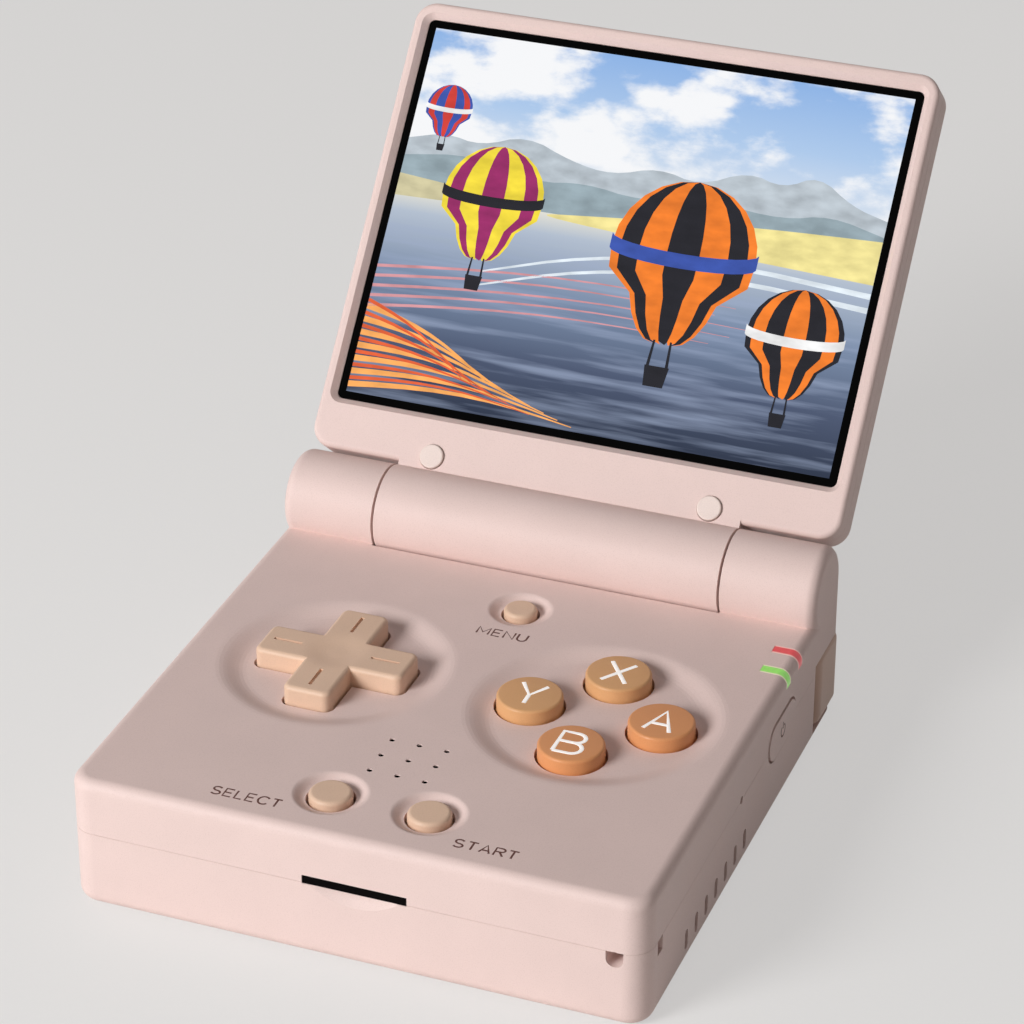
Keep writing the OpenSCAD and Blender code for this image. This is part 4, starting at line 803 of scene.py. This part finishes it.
def lid_coords(s):
    """The lid's own coordinates: X across, Y up the screen, Z out of it."""
    node = s.new("ShaderNodeMapping", vector_type="TEXTURE")
    node.inputs["Location"].default_value = HINGE
    node.inputs["Rotation"].default_value = (math.radians(180 - LID_OPEN), 0, 0)
    s.link(s.coords, node.inputs["Vector"])
    return node.outputs[0]


def stretched(s, coords, across):
    node = s.new("ShaderNodeMapping")
    node.inputs["Scale"].default_value = (across, 1, 1)
    s.link(coords, node.inputs["Vector"])
    return node.outputs[0]


def screen_light(s, colour):
    """Lets a colour socket shine as a pixel does, below smooth glass."""
    s.bsdf.inputs["Base Color"].default_value = (0.01, 0.01, 0.012, 1)
    s.bsdf.inputs["Roughness"].default_value = 0.12
    s.bsdf.inputs["Specular IOR Level"].default_value = 0.06
    s.link(colour, s.bsdf.inputs["Emission Color"])
    s.bsdf.inputs["Emission Strength"].default_value = 1


def screen_paint(name, colour, low=0.8, high=1.15, grain=2.2):
    """One colour of the picture, with a soft mottle drawn out sideways."""
    s = Shader(name)
    coords = lid_coords(s)
    cloudy = s.noise(grain * MM, detail=3, coords=stretched(s, coords, 0.5))
    screen_light(s, s.mix(s.ranged(cloudy, 0.3, 0.7, 0, 1), shade(colour, low), shade(colour, high)))
    return s.material


def scenery_paint(name):
    """Sky with clouds above, water with the sky's light on it below."""
    s = Shader(name)
    coords = lid_coords(s)
    height = s.ranged(s.axes(coords)[1], PICTURE_U[0] * MM, PICTURE_U[1] * MM, 0, 1)
    air = s.ramp(height, [(0.0, srgb(40, 50, 70)), (0.16, srgb(74, 86, 112)),
                          (0.34, srgb(122, 140, 168)), (0.5, srgb(178, 190, 206)),
                          (0.57, srgb(236, 232, 214)), (0.66, srgb(214, 224, 236)),
                          (0.82, srgb(172, 200, 234)), (1.0, srgb(140, 178, 228))])
    puffs = s.noise(9 * MM, detail=6, roughness=0.55, coords=stretched(s, coords, 0.55))
    lean = s.ranged(s.axes(coords)[0], -20 * MM, 6 * MM, 0.1, 0)
    cloud = s.math("MULTIPLY", s.ranged(s.math("ADD", puffs, lean), 0.46, 0.62, 0, 1, True),
                   s.ranged(height, 0.6, 0.7, 0, 1))
    sky = s.mix(cloud, air, srgb(245, 246, 248))
    ripple = s.noise(1.6 * MM, detail=4, coords=stretched(s, coords, 0.06))
    wet = s.math("MULTIPLY", s.ranged(ripple, 0.45, 0.7, 0, 0.6), s.ranged(height, 0.5, 0.44, 0, 1))
    screen_light(s, s.mix(wet, sky, srgb(158, 172, 200)))
    return s.material


def make_paint():
    colours = {
        "far": (186, 196, 204), "near": (150, 168, 176), "field": (240, 226, 150), "shore": (206, 198, 158),
        "foam": (226, 236, 244), "rose": (212, 150, 156), "gold": (255, 176, 96), "amber": (230, 98, 54),
        "orange": (244, 128, 40), "soot": (32, 32, 38), "blue": (58, 84, 170), "yellow": (246, 222, 62),
        "magenta": (156, 42, 104), "red": (208, 62, 52), "white": (240, 240, 240),
    }
    paint = {name: screen_paint("picture_" + name, srgb(*rgb)) for name, rgb in colours.items()}
    paint["scenery"] = scenery_paint("picture_scenery")
    return paint


# ---------- floor ----------

FLOOR_GLOW = 0.6  # share of the floor that is the plain background colour


def make_floor():
    """Pale paper that takes the object's shadow."""
    bpy.ops.mesh.primitive_plane_add(size=8, location=(0, 0, 0))
    floor = bpy.context.object
    floor.name = "floor"
    s = Shader("floor_paper")
    grain = s.noise(0.6 * MM, detail=2)
    s.colour(s.mix(grain, srgb(232, 230, 228), srgb(236, 234, 232)))
    s.bsdf.inputs["Roughness"].default_value = 0.9
    s.bsdf.inputs["Specular IOR Level"].default_value = 0.1
    glow = s.new("ShaderNodeEmission")
    glow.inputs["Color"].default_value = BACKGROUND
    mix = s.new("ShaderNodeMixShader")
    s.link(s.math("MULTIPLY", seen_rays(s.tree), FLOOR_GLOW), mix.inputs["Fac"])
    s.link(s.bsdf.outputs[0], mix.inputs[1])
    s.link(glow.outputs[0], mix.inputs[2])
    s.link(mix.outputs[0], s.nodes["Material Output"].inputs["Surface"])
    floor.data.materials.append(s.material)


make_camera()
make_world()
make_lamp("key", azimuth=32, elevation=26, distance=1.1, size=0.5, power=10.7)
make_lamp("fill", azimuth=-40, elevation=55, distance=1.3, size=0.9, power=0.15)
MATERIALS = make_materials()
dress(MATERIALS)
make_caps(MATERIALS)
make_letters(MATERIALS)
make_power_sign(MATERIALS)
make_painted_shade_fills(MATERIALS)
make_picture(make_paint())
make_floor()

bpy.context.scene.view_settings.view_transform = "Standard"
